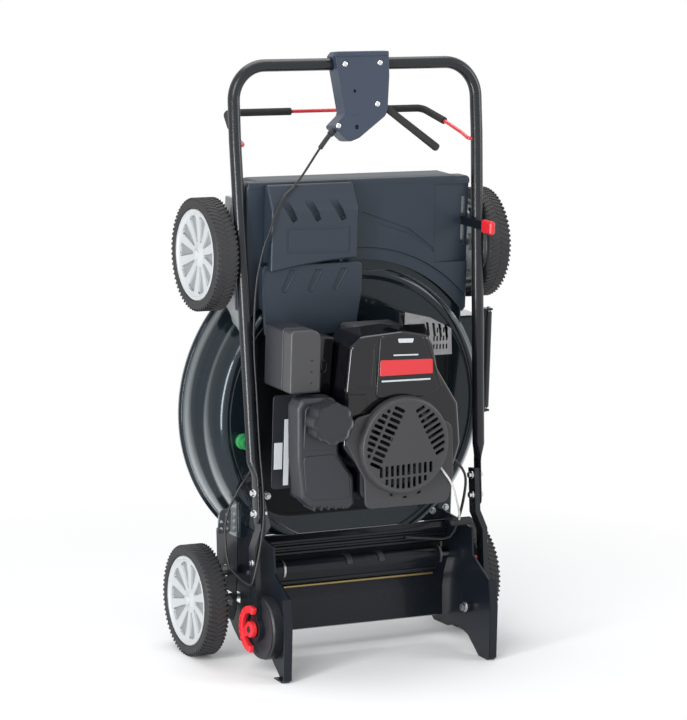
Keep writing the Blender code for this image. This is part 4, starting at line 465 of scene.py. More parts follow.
def disc(name, centre, radius, low, high, axis="z", steps=32, edge=0.0):
    """A round plate about an axis, with a rounded rim on its high side."""
    profile = [(0.0, low), (radius, low), (radius, high - edge), (radius - edge * 0.3, high - edge * 0.3),
               (radius - edge, high), (0.0, high)] if edge else [(0.0, low), (radius, low),
                                                                 (radius, high), (0.0, high)]
    return turned(name, profile, steps, axis, centre)


def block(name, x, y, z):
    """A block between two values on each axis."""
    bpy.ops.mesh.primitive_cube_add(size=1, location=((x[0] + x[1]) / 2, (y[0] + y[1]) / 2,
                                                      (z[0] + z[1]) / 2),
                                    scale=(x[1] - x[0], y[1] - y[0], z[1] - z[0]))
    piece = bpy.context.object
    bpy.ops.object.transform_apply(location=True, rotation=True, scale=True)
    piece.name = name
    return piece


def wire(name, points, radius, smooth=True, sides=4):
    """A round bar or cable along a line of points."""
    curve = bpy.data.curves.new(name, "CURVE")
    curve.dimensions = "3D"
    curve.bevel_depth = radius
    curve.bevel_resolution = sides
    curve.use_fill_caps = True
    curve.resolution_u = 6
    if smooth:
        spline = curve.splines.new("BEZIER")
        spline.bezier_points.add(len(points) - 1)
        for target, point in zip(spline.bezier_points, points):
            target.co = point
            target.handle_left_type = target.handle_right_type = "AUTO"
    else:
        spline = curve.splines.new("POLY")
        spline.points.add(len(points) - 1)
        for target, point in zip(spline.points, points):
            target.co = (*point, 1)
    piece = bpy.data.objects.new(name, curve)
    bpy.context.scene.collection.objects.link(piece)
    alone(piece)
    bpy.ops.object.convert(target="MESH")
    piece = bpy.context.object
    with editing(piece):
        tidy_normals()
    return piece


def modify(piece, kind, **values):
    """Add a modifier and apply it at once."""
    modifier = piece.modifiers.new(kind.lower(), kind)
    for key, value in values.items():
        setattr(modifier, key, value)
    alone(piece)
    bpy.ops.object.modifier_apply(modifier=modifier.name)
    return piece


def soften(piece, width, segments=2, angle=35):
    """Round the edges that are sharper than an angle."""
    return modify(piece, "BEVEL", width=width, segments=segments, limit_method="ANGLE",
                  angle_limit=math.radians(angle), use_clamp_overlap=True)


def carve(piece, *tools):
    """Cut tools out of a piece."""
    for tool in tools:
        modify(piece, "BOOLEAN", operation="DIFFERENCE", object=tool, solver="EXACT")
        bpy.data.objects.remove(tool, do_unlink=True)
    return piece


def weld(piece, *others):
    """Grow a piece by solids that overlap it."""
    for other in others:
        modify(piece, "BOOLEAN", operation="UNION", object=other, solver="EXACT")
        bpy.data.objects.remove(other, do_unlink=True)
    return piece


def together(name, pieces):
    """Several pieces as one object."""
    bpy.ops.object.select_all(action="DESELECT")
    for piece in pieces:
        piece.select_set(True)
    bpy.context.view_layer.objects.active = pieces[0]
    if len(pieces) > 1:
        bpy.ops.object.join()
    pieces[0].name = name
    return pieces[0]


def copied(piece, matrix, name=None):
    """A copy with its own mesh, put elsewhere."""
    made = piece.copy()
    made.data = piece.data.copy()
    made.data.transform(matrix)
    if matrix.determinant() < 0:
        made.data.flip_normals()
    made.name = name or piece.name
    bpy.context.scene.collection.objects.link(made)
    return made


def welded_copy(node, name):
    """A solid's own form as a new piece, its triangles joined into whole faces again."""
    piece = bpy.data.objects.new(name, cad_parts[node].data.copy())
    bpy.context.scene.collection.objects.link(piece)
    with editing(piece):
        tidy_normals()
        bpy.ops.mesh.dissolve_limited(angle_limit=math.radians(0.6))
    return piece


def finished(piece, surface, body, *stands_for, standing=STAND, angle=32):
    """Stand a piece up, shade it, give it its surface and hang it on its body."""
    if standing is not None:
        piece.data.transform(standing)
    piece.data.materials.clear()
    piece.data.materials.append(surface)
    alone(piece)
    bpy.ops.object.shade_smooth_by_angle(angle=math.radians(angle))
    modify(piece, "WEIGHTED_NORMAL", keep_sharp=True, weight=60)
    if body:
        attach(piece, body)
    if stands_for:
        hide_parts(*stands_for)
    return piece


def dressed(node, surface, body, width):
    """A solid's own form with its edges rounded, standing in for it."""
    piece = soften(welded_copy(node, node + "_piece"), width, 2, 32)
    return finished(piece, surface, body, node, standing=None)


def corner_curve(here, before, after, cut, steps):
    """A soft curve across a corner, from its two sides and how much of them it takes."""
    start = here + before.normalized() * cut
    end = here + after.normalized() * cut
    return [tuple(start * (1 - t) ** 2 + here * 2 * t * (1 - t) + end * t ** 2)
            for t in (step / steps for step in range(steps + 1))]


def circle(radius, count, centre=(0.0, 0.0)):
    """Points evenly round a circle."""
    turns = [math.radians(360 / count * n) for n in range(count)]
    return [(centre[0] + radius * math.cos(turn), centre[1] + radius * math.sin(turn)) for turn in turns]


def rounded(outline, radius, steps=5):
    """An outline with its corners rounded; a corner may carry its own radius."""
    result = []
    for index, corner in enumerate(outline):
        here = Vector(corner[:2])
        before = Vector(outline[index - 1][:2]) - here
        after = Vector(outline[(index + 1) % len(outline)][:2]) - here
        reach = corner[2] if len(corner) > 2 else radius
        half = before.angle(after) / 2
        cut = min(reach / math.tan(half), 0.45 * before.length, 0.45 * after.length)
        result += corner_curve(here, before, after, cut, steps)
    return result


def eased(profile, radius, steps=4):
    """An open profile with its inner corners rounded."""
    result = [tuple(profile[0])]
    for index in range(1, len(profile) - 1):
        here = Vector(profile[index])
        before = Vector(profile[index - 1]) - here
        after = Vector(profile[index + 1]) - here
        cut = min(radius, 0.45 * before.length, 0.45 * after.length)
        result += corner_curve(here, before, after, cut, steps)
    return result + [tuple(profile[-1])]


def bent(points, radius, steps=10):
    """A line of points with its inner corners turned into arcs."""
    line = [Vector(point) for point in points]
    result = [line[0]]
    for before, here, after in zip(line, line[1:], line[2:]):
        back, on = (before - here), (after - here)
        half = back.angle(on) / 2
        reach = min(radius / math.tan(half), 0.48 * back.length, 0.48 * on.length)
        middle = here + (back.normalized() + on.normalized()).normalized() * (reach / math.cos(half))
        start = here + back.normalized() * reach - middle
        end = here + on.normalized() * reach - middle
        axis = start.cross(end).normalized()
        for step in range(steps + 1):
            result.append(middle + Matrix.Rotation(start.angle(end) * step / steps, 3, axis) @ start)
    return result + [line[-1]]


# Wheels

TREAD_RIBS = 68         # slanted ribs round the tyre, in each of two rows
SPOKES = 10
GEAR_RADIUS = 0.0636    # internal gear in each front rim
GEAR_TEETH = 28


def model_tyre():
    """Carcass with bead ring and shoulders, and two rows of slanted tread ribs; z is the outer side."""
    half = TYRE_WIDTH / 2
    side = [(RIM_RADIUS + 0.0004, half - 0.0045), (0.0836, half - 0.0012), (0.0862, half - 0.0002),
            (0.088, half - 0.0016), (0.0926, half - 0.0008), (0.0966, half - 0.002), (0.0992, half - 0.005),
            (0.1006, half - 0.0088)]
    profile = side + [(radius, -height) for radius, height in reversed(side)]
    carcass = turned("tyre", eased(profile, 0.0012, 2), 84, closed=True)
    rib = plate("rib", [(0.0004, -0.0066), (0.02, 0.0016), (0.0206, 0.0058), (0.0004, -0.0022)], 0.0975,
                WHEEL_RADIUS, axis="x")
    rib.data.transform(Matrix(((1, 0, 0, 0), (0, 0, 1, 0), (0, 1, 0, 0), (0, 0, 0, 1))))
    with editing(rib):
        tidy_normals()
    soften(rib, 0.0005, 1)
    other = copied(rib, Matrix.Rotation(math.pi / TREAD_RIBS, 4, "Z") @ Matrix.Diagonal((1, 1, -1, 1)))
    ribs = together("ribs", [rib, other])
    spread_round(ribs, TREAD_RIBS)
    return together("tyre", [carcass, ribs])


def model_rim():
    """Dished wheel with ten sunk panels between its spokes and a domed hub cap; z is the outer side."""
    half = TYRE_WIDTH / 2
    face = [(0.0, half - 0.0018), (0.0062, half - 0.0021), (0.009, half - 0.0034), (0.01, half - 0.007),
            (0.0145, half - 0.0082), (0.0175, half - 0.0102), (0.023, half - 0.0105), (0.047, half - 0.0092),
            (0.07, half - 0.0066), (0.0745, half - 0.0048), (0.0762, half - 0.0024), (0.0778, half - 0.002),
            (0.0805, half - 0.002), (RIM_RADIUS, half - 0.0034)]
    back = [(RIM_RADIUS, -half + 0.003), (0.0782, -half + 0.003), (0.078, half - 0.017),
            (0.016, half - 0.0195), (0.016, -half + 0.0045), (0.007, -half + 0.0045), (0.007, half - 0.0028),
            (0.0, half - 0.0028)]
    rim = turned("rim", face + back, 80)
    panel = slab("panel", [(0.024, -0.0022, 0.0018), (0.069, -0.0128, 0.005), (0.0718, -0.006, 0.004),
                           (0.0718, 0.006, 0.004), (0.069, 0.0128, 0.005), (0.024, 0.0022, 0.0018)],
                 (0.003, 3), (half - 0.0172, half + 0.004), (0.0013, 2, 50))
    panel.data.transform(Matrix.Rotation(math.radians(-4.6), 4, "Y"))
    spread_round(panel, SPOKES)
    return soften(carve(rim, panel), 0.0005, 2, 40)


def model_gear():
    """The toothed ring moulded inside a front rim; z is the outer side."""
    half = TYRE_WIDTH / 2
    outer, root = GEAR_RADIUS + 0.0065, GEAR_RADIUS + 0.0022
    ring = turned("gear", [(root, -half + 0.006), (outer, -half + 0.006), (outer, half - 0.0175),
                           (root, half - 0.0175)], GEAR_TEETH * 3, closed=True)
    tooth = plate("tooth", [(root + 0.0004, -0.0032), (root + 0.0004, 0.0032), (GEAR_RADIUS - 0.0016, 0.0014),
                            (GEAR_RADIUS - 0.0016, -0.0014)], -half + 0.0062, half - 0.0175)
    spread_round(tooth, GEAR_TEETH)
    return together("gear", [ring, tooth])


def paint_panel_shade(rim, side, track, hub):
    """Paint shade onto the sunk panels of a finished rim: a darker second material stands in for the shade
    that falls in them.
    """
    rim.data.materials.append(rim_panel_shade)
    for polygon in rim.data.polygons:
        reach = math.hypot(polygon.center.y - hub.y, polygon.center.z - hub.z)
        sunk = track - side * polygon.center.x
        level = 0.0105 - 0.083 * (reach - 0.023)
        if 0.0225 < reach < 0.0735 and level + 0.0016 < sunk < 0.018 and side * polygon.normal.x > -0.2:
            polygon.material_index = 1


def make_wheels():
    """Four tyres and four rims from one pattern of each, with a gear ring in the front ones."""
    tyre, rim, gear = model_tyre(), model_rim(), model_gear()
    for end, track, axle_y in (("front", FRONT_HALF_TRACK, WHEELBASE), ("rear", REAR_HALF_TRACK, 0.0)):
        for side_name, side in SIDES:
            across = side * (track - TYRE_WIDTH / 2)
            outwards = Matrix.Rotation(math.radians(90 * side), 4, "Y")
            where = Matrix.Translation((across, axle_y, WHEEL_RADIUS)) @ outwards
            body = "wheel_" + end + "_" + side_name
            finished(copied(tyre, where, "tyre_piece_" + end + "_" + side_name), tyre_rubber, body,
                     "tyre_" + end + "_" + side_name, angle=38)
            whole = copied(rim, where, "rim_piece_" + end + "_" + side_name)
            if end == "front":
                whole = together(whole.name, [whole, copied(gear, where, "gear_ring")])
            finished(whole, rim_silver, body, "rim_" + end + "_" + side_name, angle=38)
            # The sunk panels get painted shade
            paint_panel_shade(whole, side, track, STAND @ Vector((0, axle_y, WHEEL_RADIUS)))
    for pattern in (tyre, rim, gear):
        bpy.data.objects.remove(pattern, do_unlink=True)


# Fasteners

def model_nut():
    """A flanged hex head one unit across its flange, standing on z = 0."""
    flange = turned("nut", [(0.0, -0.05), (0.5, -0.05), (0.5, 0.03), (0.47, 0.08), (0.36, 0.1),
                            (0.0, 0.1)], 20)
    hexagon = plate("hexagon", circle(0.37, 6), 0.05, 0.42)
    return together("nut", [flange, soften(hexagon, 0.045, 2)])


def model_rivet():
    """A low domed head one unit across, standing on z = 0."""
    return turned("rivet", eased([(0.0, -0.05), (0.5, -0.05), (0.5, 0.1), (0.36, 0.24),
                                  (0.0, 0.28)], 0.08, 3), 24)


def fasteners(name, pattern, surface, body, places, standing=STAND):
    """Copies of one head: each place is a point, the way it faces and its width."""
    heads = []
    for point, facing, width in places:
        turn = Vector(facing).to_track_quat("Z", "Y").to_matrix().to_4x4()
        heads.append(copied(pattern, Matrix.Translation(point) @ turn @ Matrix.Scale(width, 4), "head"))
    return finished(together(name, heads), surface, body, standing=standing, angle=35)


# Deck

LIP_RADIUS = 0.302
TAIL_HALF = 0.2215
TAIL_END = 0.122
TAIL_TOP = 0.15
DOOR_ROLL = (0.062, 0.176)  # axis of the rear door's rolled edge
SHEET = 0.0025
FRAME_HALF = 0.224
FRAME_FRONT = 0.735
FRAME_TOP = 0.1525
FRAME_LOW = 0.07
DECK_FRONT = 0.6
FRONT_PIVOT_Y = 0.685
INPUT_AXIS = (-0.105, FRONT_PIVOT_Y)
TRAY_MIDDLE_Y = 0.358
TRAY_SHRINK = 0.975      # the tray's sunk floor against its rim


def dome_solid(name, inset=0.0):
    """The stepped dome as a solid, or its hollow when inset by the sheet."""
    low = 0.057 - (0.02 if inset else 0.0)
    skirt = [(0.296 - inset, low)] if inset else [(LIP_RADIUS, low), (LIP_RADIUS, 0.0605), (0.296, 0.0622)]
    bead = [] if inset else [(0.256, 0.1616), (0.25, 0.1626), (0.2455, 0.16)]
    profile = ([(0.0, low)] + skirt + [(0.294 - inset, 0.088), (0.289 - inset, 0.104),
                                       (0.2795 - inset, 0.114), (0.2772 - inset, 0.13),
                                       (0.2722 - inset, 0.146 - inset / 2),
                                       (0.263 - inset, DECK_TOP - 0.001 - inset)] + bead
               + [(0.243, DECK_TOP - inset), (0.0, DECK_TOP - inset)])
    head, tail = profile[:3], profile[3:]
    dome = turned(name, head + eased([profile[2]] + tail, 0.0085, 5)[1:], 144, centre=(0.0, DECK_CENTRE_Y))
    cap = block("front_flat", (-0.32, 0.32), (DECK_FRONT - inset, 0.8), (0.0, 0.3))
    return carve(dome, cap)


def make_deck():
    """The pressing: dome, tail, side chute and front frame, with its bores and slots."""
    deck = dome_solid("deck")
    tail = soften(block("tail", (-TAIL_HALF, TAIL_HALF), (TAIL_END - 0.02, DECK_CENTRE_Y - 0.02),
                        (0.058, TAIL_TOP)), 0.008, 3)
    chute = soften(block("chute", (0.2, 0.281), (0.338, 0.502), (0.059, 0.138)), 0.006, 3)
    bay = soften(block("bay", (-FRAME_HALF, FRAME_HALF), (0.464, FRAME_FRONT),
                       (FRAME_LOW, FRAME_TOP)), 0.003, 2)
    weld(deck, tail, chute, bay)
    room = dome_solid("room", SHEET)
    tail_room = block("tail_room", (-TAIL_HALF + SHEET, TAIL_HALF - SHEET), (0.05, 0.324),
                      (0.02, TAIL_TOP - SHEET))
    chute_room = block("chute_room", (0.19, 0.31), (0.338 + SHEET, 0.502 - SHEET), (0.02, 0.138 - SHEET))
    bay_room = block("bay_room", (-FRAME_HALF + SHEET, FRAME_HALF - SHEET), (0.474, FRAME_FRONT - SHEET),
                     (0.02, FRAME_TOP - SHEET))
    carve(bay_room, dome_solid("kept", 0.0))
    behind = block("behind", (-0.32, 0.32), (-0.1, TAIL_END), (0.0, 0.3))
    carve(deck, behind, room, tail_room, chute_room, bay_room)
    holes = [disc("crank_hole", (0.0, CRANK_Y), 0.04, 0.14, 0.18),
             disc("input_hole", INPUT_AXIS, 0.014, 0.13, 0.17, steps=24),
             block("lever_slot", (0.213, 0.221), (0.64, 0.729), (0.14, 0.165))]
    for side in (-1, 1):
        ends = sorted((side * (FRAME_HALF - 0.01), side * (FRAME_HALF + 0.01)))
        holes.append(disc("pivot_hole", (FRONT_PIVOT_Y, WHEEL_RADIUS), 0.0106, *ends, "x", 24))
        holes.append(block("axle_slot", ends, (WHEELBASE - 0.012, WHEELBASE + 0.012), (0.06, 0.1336)))
    carve(deck, *holes)
    finished(deck, deck_paint, "chassis", "deck_shell", angle=30)
    ear = (0.132, 0.148)
    ears = [block("ear", (0.268, 0.294), (0.3205, 0.3245), ear),
            block("ear", (0.27, 0.2805), (0.5005, 0.5155), ear),
            block("ear", (0.279, 0.294), (0.5115, 0.5155), ear)]
    finished(soften(together("deflector_ears", ears), 0.0008), gloss_paint, "chassis")

    # The black tray that the engine stands in, with its low rim
    outline = rounded([(-0.196, 0.156), (0.196, 0.156), (0.196, 0.56), (-0.196, 0.56)], 0.085, 12)
    tray = plate("engine_tray", outline, DECK_TOP + 0.0001, DECK_TOP + 0.0018)
    within = [(x * TRAY_SHRINK, TRAY_MIDDLE_Y + (y - TRAY_MIDDLE_Y) * TRAY_SHRINK) for x, y in outline]
    sunk = plate("sunk", within, DECK_TOP + 0.0008, DECK_TOP + 0.01)
    front = block("front", (-0.3, 0.3), (0.492, 0.7), (0.1, 0.2))
    carve(tray, sunk, front, disc("crank_room", (0.0, CRANK_Y), 0.041, 0.14, 0.18))
    finished(soften(tray, 0.0005, 2), tray_paint, "chassis", angle=30)


def make_tail():
    """Cross plate, gusset, skirts and corner plate, and the door roll's bands, clips and rod, with a thin
    gold strip below the rod that is a painted reflection.
    """
    floor = block("tail_floor", (-0.1985, 0.1985), (0.046, 0.0865), (0.1485, 0.1496))
    lip = block("tail_lip", (-0.1985, 0.1985), (0.0855, 0.087), (0.13, 0.149))
    finished(soften(together("tail_floor", [floor, lip]), 0.0004), matt_plastic, "chassis")
    gusset = slab("tail_gusset", [(0.124, 0.15), (0.23, 0.15), (0.206, 0.21), (0.16, 0.238), (0.133, 0.21)],
                  (0.006, 3), (-0.1982, -0.197), axis="x")
    holes = [disc("hole", (0.142 + 0.014 * n, 0.168 + 0.013 * (n % 2)), 0.0034, -0.21, -0.19, "x", 16)
             for n in range(5)]
    finished(soften(carve(gusset, together("holes", holes)), 0.0003, 1), grey_steel, "chassis", angle=30)
    skirts = []
    for side in (-1, 1):
        skirt = slab("skirt", [(-0.036, 0.104), (-0.014, 0.072), (0.1215, 0.058), (0.1215, 0.15),
                               (-0.012, 0.15), (-0.036, 0.138)], (0.006, 4),
                     (side * 0.2195, side * 0.2215), axis="x")
        through = sorted((side * 0.21, side * 0.23))
        carve(skirt, block("axle_slot", through, (-0.01, 0.015), (0.05, 0.134)),
              disc("stud_hole", (0.05, 0.1016), 0.011, *through, "x", 24))
        skirts.append(soften(skirt, 0.0005))
    finished(together("tail_skirts", skirts), bracket_paint, "chassis", angle=30)
    corner = slab("corner_plate", [(-0.2216, 0.124), (-0.2216, 0.173), (-0.243, 0.166), (-0.2475, 0.124)],
                  (0.006, 4), (0.118, 0.1194))
    places = ((-0.229, 0.133), (-0.24, 0.133), (-0.229, 0.146), (-0.24, 0.146), (-0.229, 0.159))
    corner_holes = [disc("hole", place, 0.0028, 0.11, 0.125, steps=16) for place in places]
    finished(soften(carve(corner, *corner_holes), 0.0003, 1), grey_steel, "chassis", angle=30)
    caps = [disc("roll_end", DOOR_ROLL, 0.0175, low, high, "x", 32, 0.0006)
            for low, high in ((-0.146, -0.142), (0.176, 0.18))]
    finished(together("roll_ends", caps), zinc, "rear_door", angle=30)
    clips = []
    for x in (-0.013, 0.053):
        clip = disc("clip", DOOR_ROLL, 0.0185, x - 0.006, x + 0.006, "x", 32, 0.0008)
        clips.append(soften(carve(clip, block("open", (x - 0.02, x + 0.02), (0.03, 0.0645),
                                              (0.14, 0.21))), 0.0006))
    finished(together("roll_clips", clips), matt_plastic, "rear_door", angle=30)
    rod = wire("seal_rod", [(-0.172, 0.039, 0.1836), (0.172, 0.039, 0.1836)], 0.0042, smooth=False, sides=4)
    finished(rod, gloss_paint, "rear_door", angle=40)
    # A thin gold strip just below the rod: a painted reflection line
    strip = wire("reflection_strip", [(-0.165, 0.03, 0.1826), (0.165, 0.03, 0.1826)], 0.0024, smooth=False, sides=3)
    finished(strip, brass, "rear_door", angle=40)


# Front fairing

def make_front_cover():
    """Moulded fairing: front lip, sloping right shoulder, crease and the band that follows the dome."""
    half, low, top = 0.2275, 0.125, 0.166
    cover = soften(block("fairing", (-half, half), (0.5, 0.768), (low, top)), 0.008, 3)
    nose = soften(block("nose", (-0.205, 0.205), (0.7, 0.77), (0.084, 0.162)), 0.011, 3)
    lip = soften(block("lip", (-0.224, 0.198), (0.7555, 0.7692), (0.15, top + 0.0006)), 0.0035, 3)
    weld(cover, nose, lip)
    room = block("room", (-0.2242, 0.15), (0.48, 0.764), (0.064, top - 0.007))
    low_room = block("low_room", (0.14, 0.2242), (0.48, 0.764), (0.064, top - 0.0125))
    scoop = turned("scoop", [(0.0, 0.1), (0.2985, 0.1), (0.2985, 0.15), (0.262, 0.172), (0.262, 0.2),
                             (0.0, 0.2)], 96, centre=(0.0, DECK_CENTRE_Y))
    band = turned("band", [(0.0, top - 0.0042), (0.3, top - 0.0042), (0.3045, 0.175), (0.0, 0.175)], 96,
                  centre=(0.0, DECK_CENTRE_Y))
    side_step = plate("side_step", [(0.1555, 0.61), (0.24, 0.61), (0.24, 0.7545), (0.1515, 0.7545)],
                      top - 0.0016, top + 0.01)
    side_step.data.transform(Matrix.Translation((0.1535, 0, top - 0.0016))
                             @ Matrix.Rotation(math.radians(6.0), 4, "Y")
                             @ Matrix.Translation((-0.1535, 0, -top + 0.0016)))
    crease = slab("crease", [(0.002, 0.699), (0.1, 0.6655), (0.1545, 0.629), (0.1545, 0.637), (0.101, 0.6765),
                             (0.002, 0.711)], (0.02, 6), (top - 0.0024, top + 0.01), (0.0016, 3, 50))
    slot = block("slot", (0.213, 0.221), (0.64, 0.729), (top - 0.02, top + 0.01))
    clear = plate("clear_corner", [(0.19, 0.48), (0.25, 0.48), (0.25, 0.552)], 0.05, 0.2)
    notch = block("notch", (-0.25, 0.25), (WHEELBASE - 0.012, WHEELBASE + 0.012), (0.1, 0.1336))
    input_hole = disc("input_hole", INPUT_AXIS, 0.014, 0.15, 0.18)
    carve(cover, room, low_room, scoop, band, side_step, crease, slot, notch, clear, input_hole)
    finished(soften(cover, 0.001, 2, 40), fairing_plastic, "chassis", "front_cover", angle=30)


def make_belt_cover():
    """Raised drive cover: bevelled front, curved step, sunk frame and two rows of slanted scoops."""
    base, step, top = 0.1662, 0.1905, 0.2016
    left, right = -0.192, -0.02
    rear = [(left + (right - left) * n / 12, 0.632 - 0.02 * ((1 - n / 12) ** 1.6)) for n in range(13)]
    upper = plate("belt_upper", [(right, 0.7655), (left, 0.7655)] + rear, base, top)
    wedge = plate("wedge", [(0.722, top + 0.0002), (0.768, 0.175), (0.78, 0.175), (0.78, 0.22),
                            (0.722, 0.22)], -0.3, 0.1, axis="x")
    carve(upper, wedge)
    soften(upper, 0.0042, 3, 28)
    lower = slab("belt_lower", [(-0.003, 0.624), (-0.203, 0.624), (-0.203, 0.57), (-0.194, 0.493),
                                (-0.014, 0.493), (-0.003, 0.57)], (0.012, 4), (base, step), (0.0042, 3, 50))
    weld(upper, lower)
    rooms = block("belt_room", (left + 0.003, right - 0.003), (0.64, 0.757), (0.15, 0.175))
    tall = block("belt_tall", (left + 0.003, right - 0.003), (0.632, 0.7365), (0.15, top - 0.0112))
    long = block("belt_long", (-0.2, -0.006), (0.47, 0.628), (0.15, step - 0.0045))
    cuts = [rooms, tall, long]
    for x in (-0.157, -0.11, -0.06):
        cuts.append(scoop_cut([(x - 0.019, 0.74), (x - 0.001, 0.741), (x + 0.0165, 0.705), (x + 0.006, 0.7)],
                              top - 0.0098, top + 0.02))
    for x in (-0.15, -0.098, -0.048):
        cuts.append(scoop_cut([(x + 0.017, 0.613), (x, 0.6135), (x - 0.0165, 0.576), (x - 0.006, 0.572)],
                              step - 0.0036, step + 0.02))
    frame_outer = slab("frame", [(-0.163, 0.646), (-0.036, 0.642), (-0.036, 0.69), (-0.163, 0.692)],
                       (0.004, 4), (top - 0.0009, top + 0.01))
    inner = slab("frame_inner", [(-0.159, 0.65), (-0.04, 0.646), (-0.04, 0.686), (-0.159, 0.688)], (0.004, 4),
                 (top - 0.002, top + 0.02))
    carve(frame_outer, inner)
    carve(upper, *cuts, frame_outer)
    finished(soften(upper, 0.0006, 2, 45), belt_plastic, "chassis", "belt_cover", angle=30)


def scoop_cut(outline, low, high):
    """A slanted notch with a rounded bed."""
    return slab("scoop", outline, (0.0035, 4), (low, high), (0.002, 3, 50))


# Handle

BAIL_PIVOT = 0.86
BAIL_REACH = 0.1395
BAIL_OPEN = math.radians(65)
BAIL_POINTS = ((0.24, 0.0), (0.227, 0.0), (0.2262, 0.2), (0.217, 0.58), (0.2, 1.0))
LOCK_START = math.radians(-8)       # the lever's C lies behind the bolt and opens towards the handle
LOCK_SWEEP = math.radians(206)
LOCK_ARC = 0.036
LOCK_WIDTH = 0.013


def make_tube():
    """U tube in gloss paint, its lower ends pressed flat over the bars."""
    low = (-0.2299, 0.3, 0.0)
    path = bent([low, (-TOP_HALF_WIDTH, 0.87, 0.0), (-TOP_HALF_WIDTH, CROSSBAR, 0.0),
                 (TOP_HALF_WIDTH, CROSSBAR, 0.0), (TOP_HALF_WIDTH, 0.87, 0.0),
                 (-low[0], low[1], 0.0)], 0.062, 16)
    tube = wire("tube", path, TUBE_RADIUS, smooth=False, sides=8)
    for side in (-1, 1):
        place_x, place_s = side * 0.2299, 0.3
        for next_x, next_s, thin, broad in ((0.2292, 0.29, 0.75, 1.06), (0.2278, 0.278, 0.5, 1.08),
                                            (0.2268, 0.268, 0.63, 1.03), (0.2265, 0.2, 1.0, 1.0),
                                            (0.2265, 0.192, 1.0, 0.84), (0.2265, 0.188, 1.0, 0.55)):
            with editing(tube):
                choose(lambda middle, normal: normal.y < -0.8 and abs(middle.y - place_s) < 0.002
                       and side * middle.x > 0)
                move = (side * next_x - place_x, next_s - place_s, 0)
                bpy.ops.mesh.extrude_region_move(TRANSFORM_OT_translate={"value": move})
                bpy.ops.transform.resize(value=(thin, 1, broad), center_override=(side * next_x, next_s, 0))
            place_x, place_s = side * next_x, next_s
    finished(tube, tube_paint, "handle", "upper_handle", standing=FOLD, angle=40)


def make_joints():
    """Bolts and nuts of the handle joints."""
    places = []
    for side in (-1, 1):
        for along in (0.243, 0.206):
            places.append(((side * 0.2291, along, 0.0), (side, 0, 0), 0.015))
            places.append(((side * 0.2136, along, 0.0), (-side, 0, 0), 0.0165))
        places.append(((side * 0.2374, 0.118, 0.0), (side, 0, 0), 0.012))
    fasteners("handle_nuts", NUT, bright_steel, "handle", places, FOLD)


def bail_line():
    """The bail's line from the left pivot pin to the right one."""
    right = [(x, BAIL_PIVOT + BAIL_REACH * reach * math.cos(BAIL_OPEN),
              -BAIL_REACH * reach * math.sin(BAIL_OPEN)) for x, reach in BAIL_POINTS]
    return bent([(-x, s, z) for x, s, z in right] + right[::-1], 0.016, 8)


def make_bail():
    """Red lacquered wire with a black foam sleeve round each corner."""
    line = bail_line()
    bail = wire("bail_wire", line, 0.0034, smooth=False, sides=5)
    finished(bail, red_lacquer, "bail", "bail", standing=FOLD, angle=50)
    for side_name, side in SIDES:
        start_x = 0.072 if side < 0 else 0.085
        inner = Vector((side * start_x, BAIL_PIVOT + BAIL_REACH * math.cos(BAIL_OPEN),
                        -BAIL_REACH * math.sin(BAIL_OPEN)))
        lowest = -BAIL_REACH * 0.54 * math.sin(BAIL_OPEN)
        kept = [point for point in line if side * point.x > start_x + 0.001 and point.z < lowest]
        kept.sort(key=lambda point: (point - inner).length)
        sleeve = wire("sleeve", [inner] + kept, 0.0068, smooth=False, sides=6)
        soften(sleeve, 0.0018, 3, 60)
        finished(sleeve, foam, "bail", "bail_grip_" + side_name, standing=FOLD, angle=50)


def make_controls():
    """Control bracket with its folded lip, screw holes and cable ferrule, and the drive lever."""
    bracket = welded_copy("control_bracket", "control_box")
    bracket.data.transform(FOLD.inverted())
    soften(bracket, 0.0013, 2)
    top = 0.024
    lip = soften(block("lip", (-0.0535, 0.0545), (1.0125, 1.0215), (0.015, top + 0.0022)), 0.002, 3)
    rib = soften(block("rib", (-0.026, -0.012), (0.9085, 0.91), (top - 0.001, top + 0.0006)), 0.0003, 1)
    holes = [disc("hole", (x, s), radius, top - 0.006, top + 0.01, steps=20)
             for x, s, radius in ((-0.0157, 0.951, 0.003), (-0.0138, 0.8866, 0.0042))]
    carve(bracket, *holes)
    finished(together("control_box", [bracket, lip, rib]), control_plastic, "handle", "control_bracket",
             standing=FOLD, angle=32)
    fasteners("control_screws", RIVET, bright_steel, "handle",
              [((x, s, top), (0, 0, 1), 0.0105) for x, s in ((-0.0341, 0.9992), (0.0363, 1.0005),
                                                             (0.0288, 0.9267), (-0.051, 0.8898))], FOLD)
    ferrule = wire("ferrule", [(-0.053, 0.8845, 0.012), (-0.069, 0.868, 0.0128), (-0.084, 0.851, 0.014)],
                   0.0044, sides=4)
    soften(ferrule, 0.0012, 2, 60)
    collar = wire("collar", [(-0.054, 0.8835, 0.012), (-0.063, 0.8742, 0.0125)], 0.0062,
                  smooth=False, sides=4)
    finished(together("cable_ferrule", [ferrule, soften(collar, 0.001, 2, 60)]), matt_plastic, "handle",
             standing=FOLD, angle=40)
    start, end = Vector((0.043, 0.928)), Vector((0.1525, 0.8475))
    along = (end - start).normalized()
    across = Vector((-along.y, along.x))
    outline = rounded([tuple(start - across * 0.0062 - along * 0.006),
                       tuple(end - across * 0.0072 + along * 0.0072),
                       tuple(end + across * 0.0072 + along * 0.0072),
                       tuple(start + across * 0.0062 - along * 0.006)], 0.0062, 6)
    lever = soften(plate("lever", outline, 0.0032, 0.0128), 0.003, 3, 60)
    carve(lever, disc("pin_hole", (0.043, 0.928), 0.0032, -0.01, 0.03, steps=20))
    finished(lever, soft_rubber, "drive_lever", "drive_lever", standing=FOLD, angle=40)


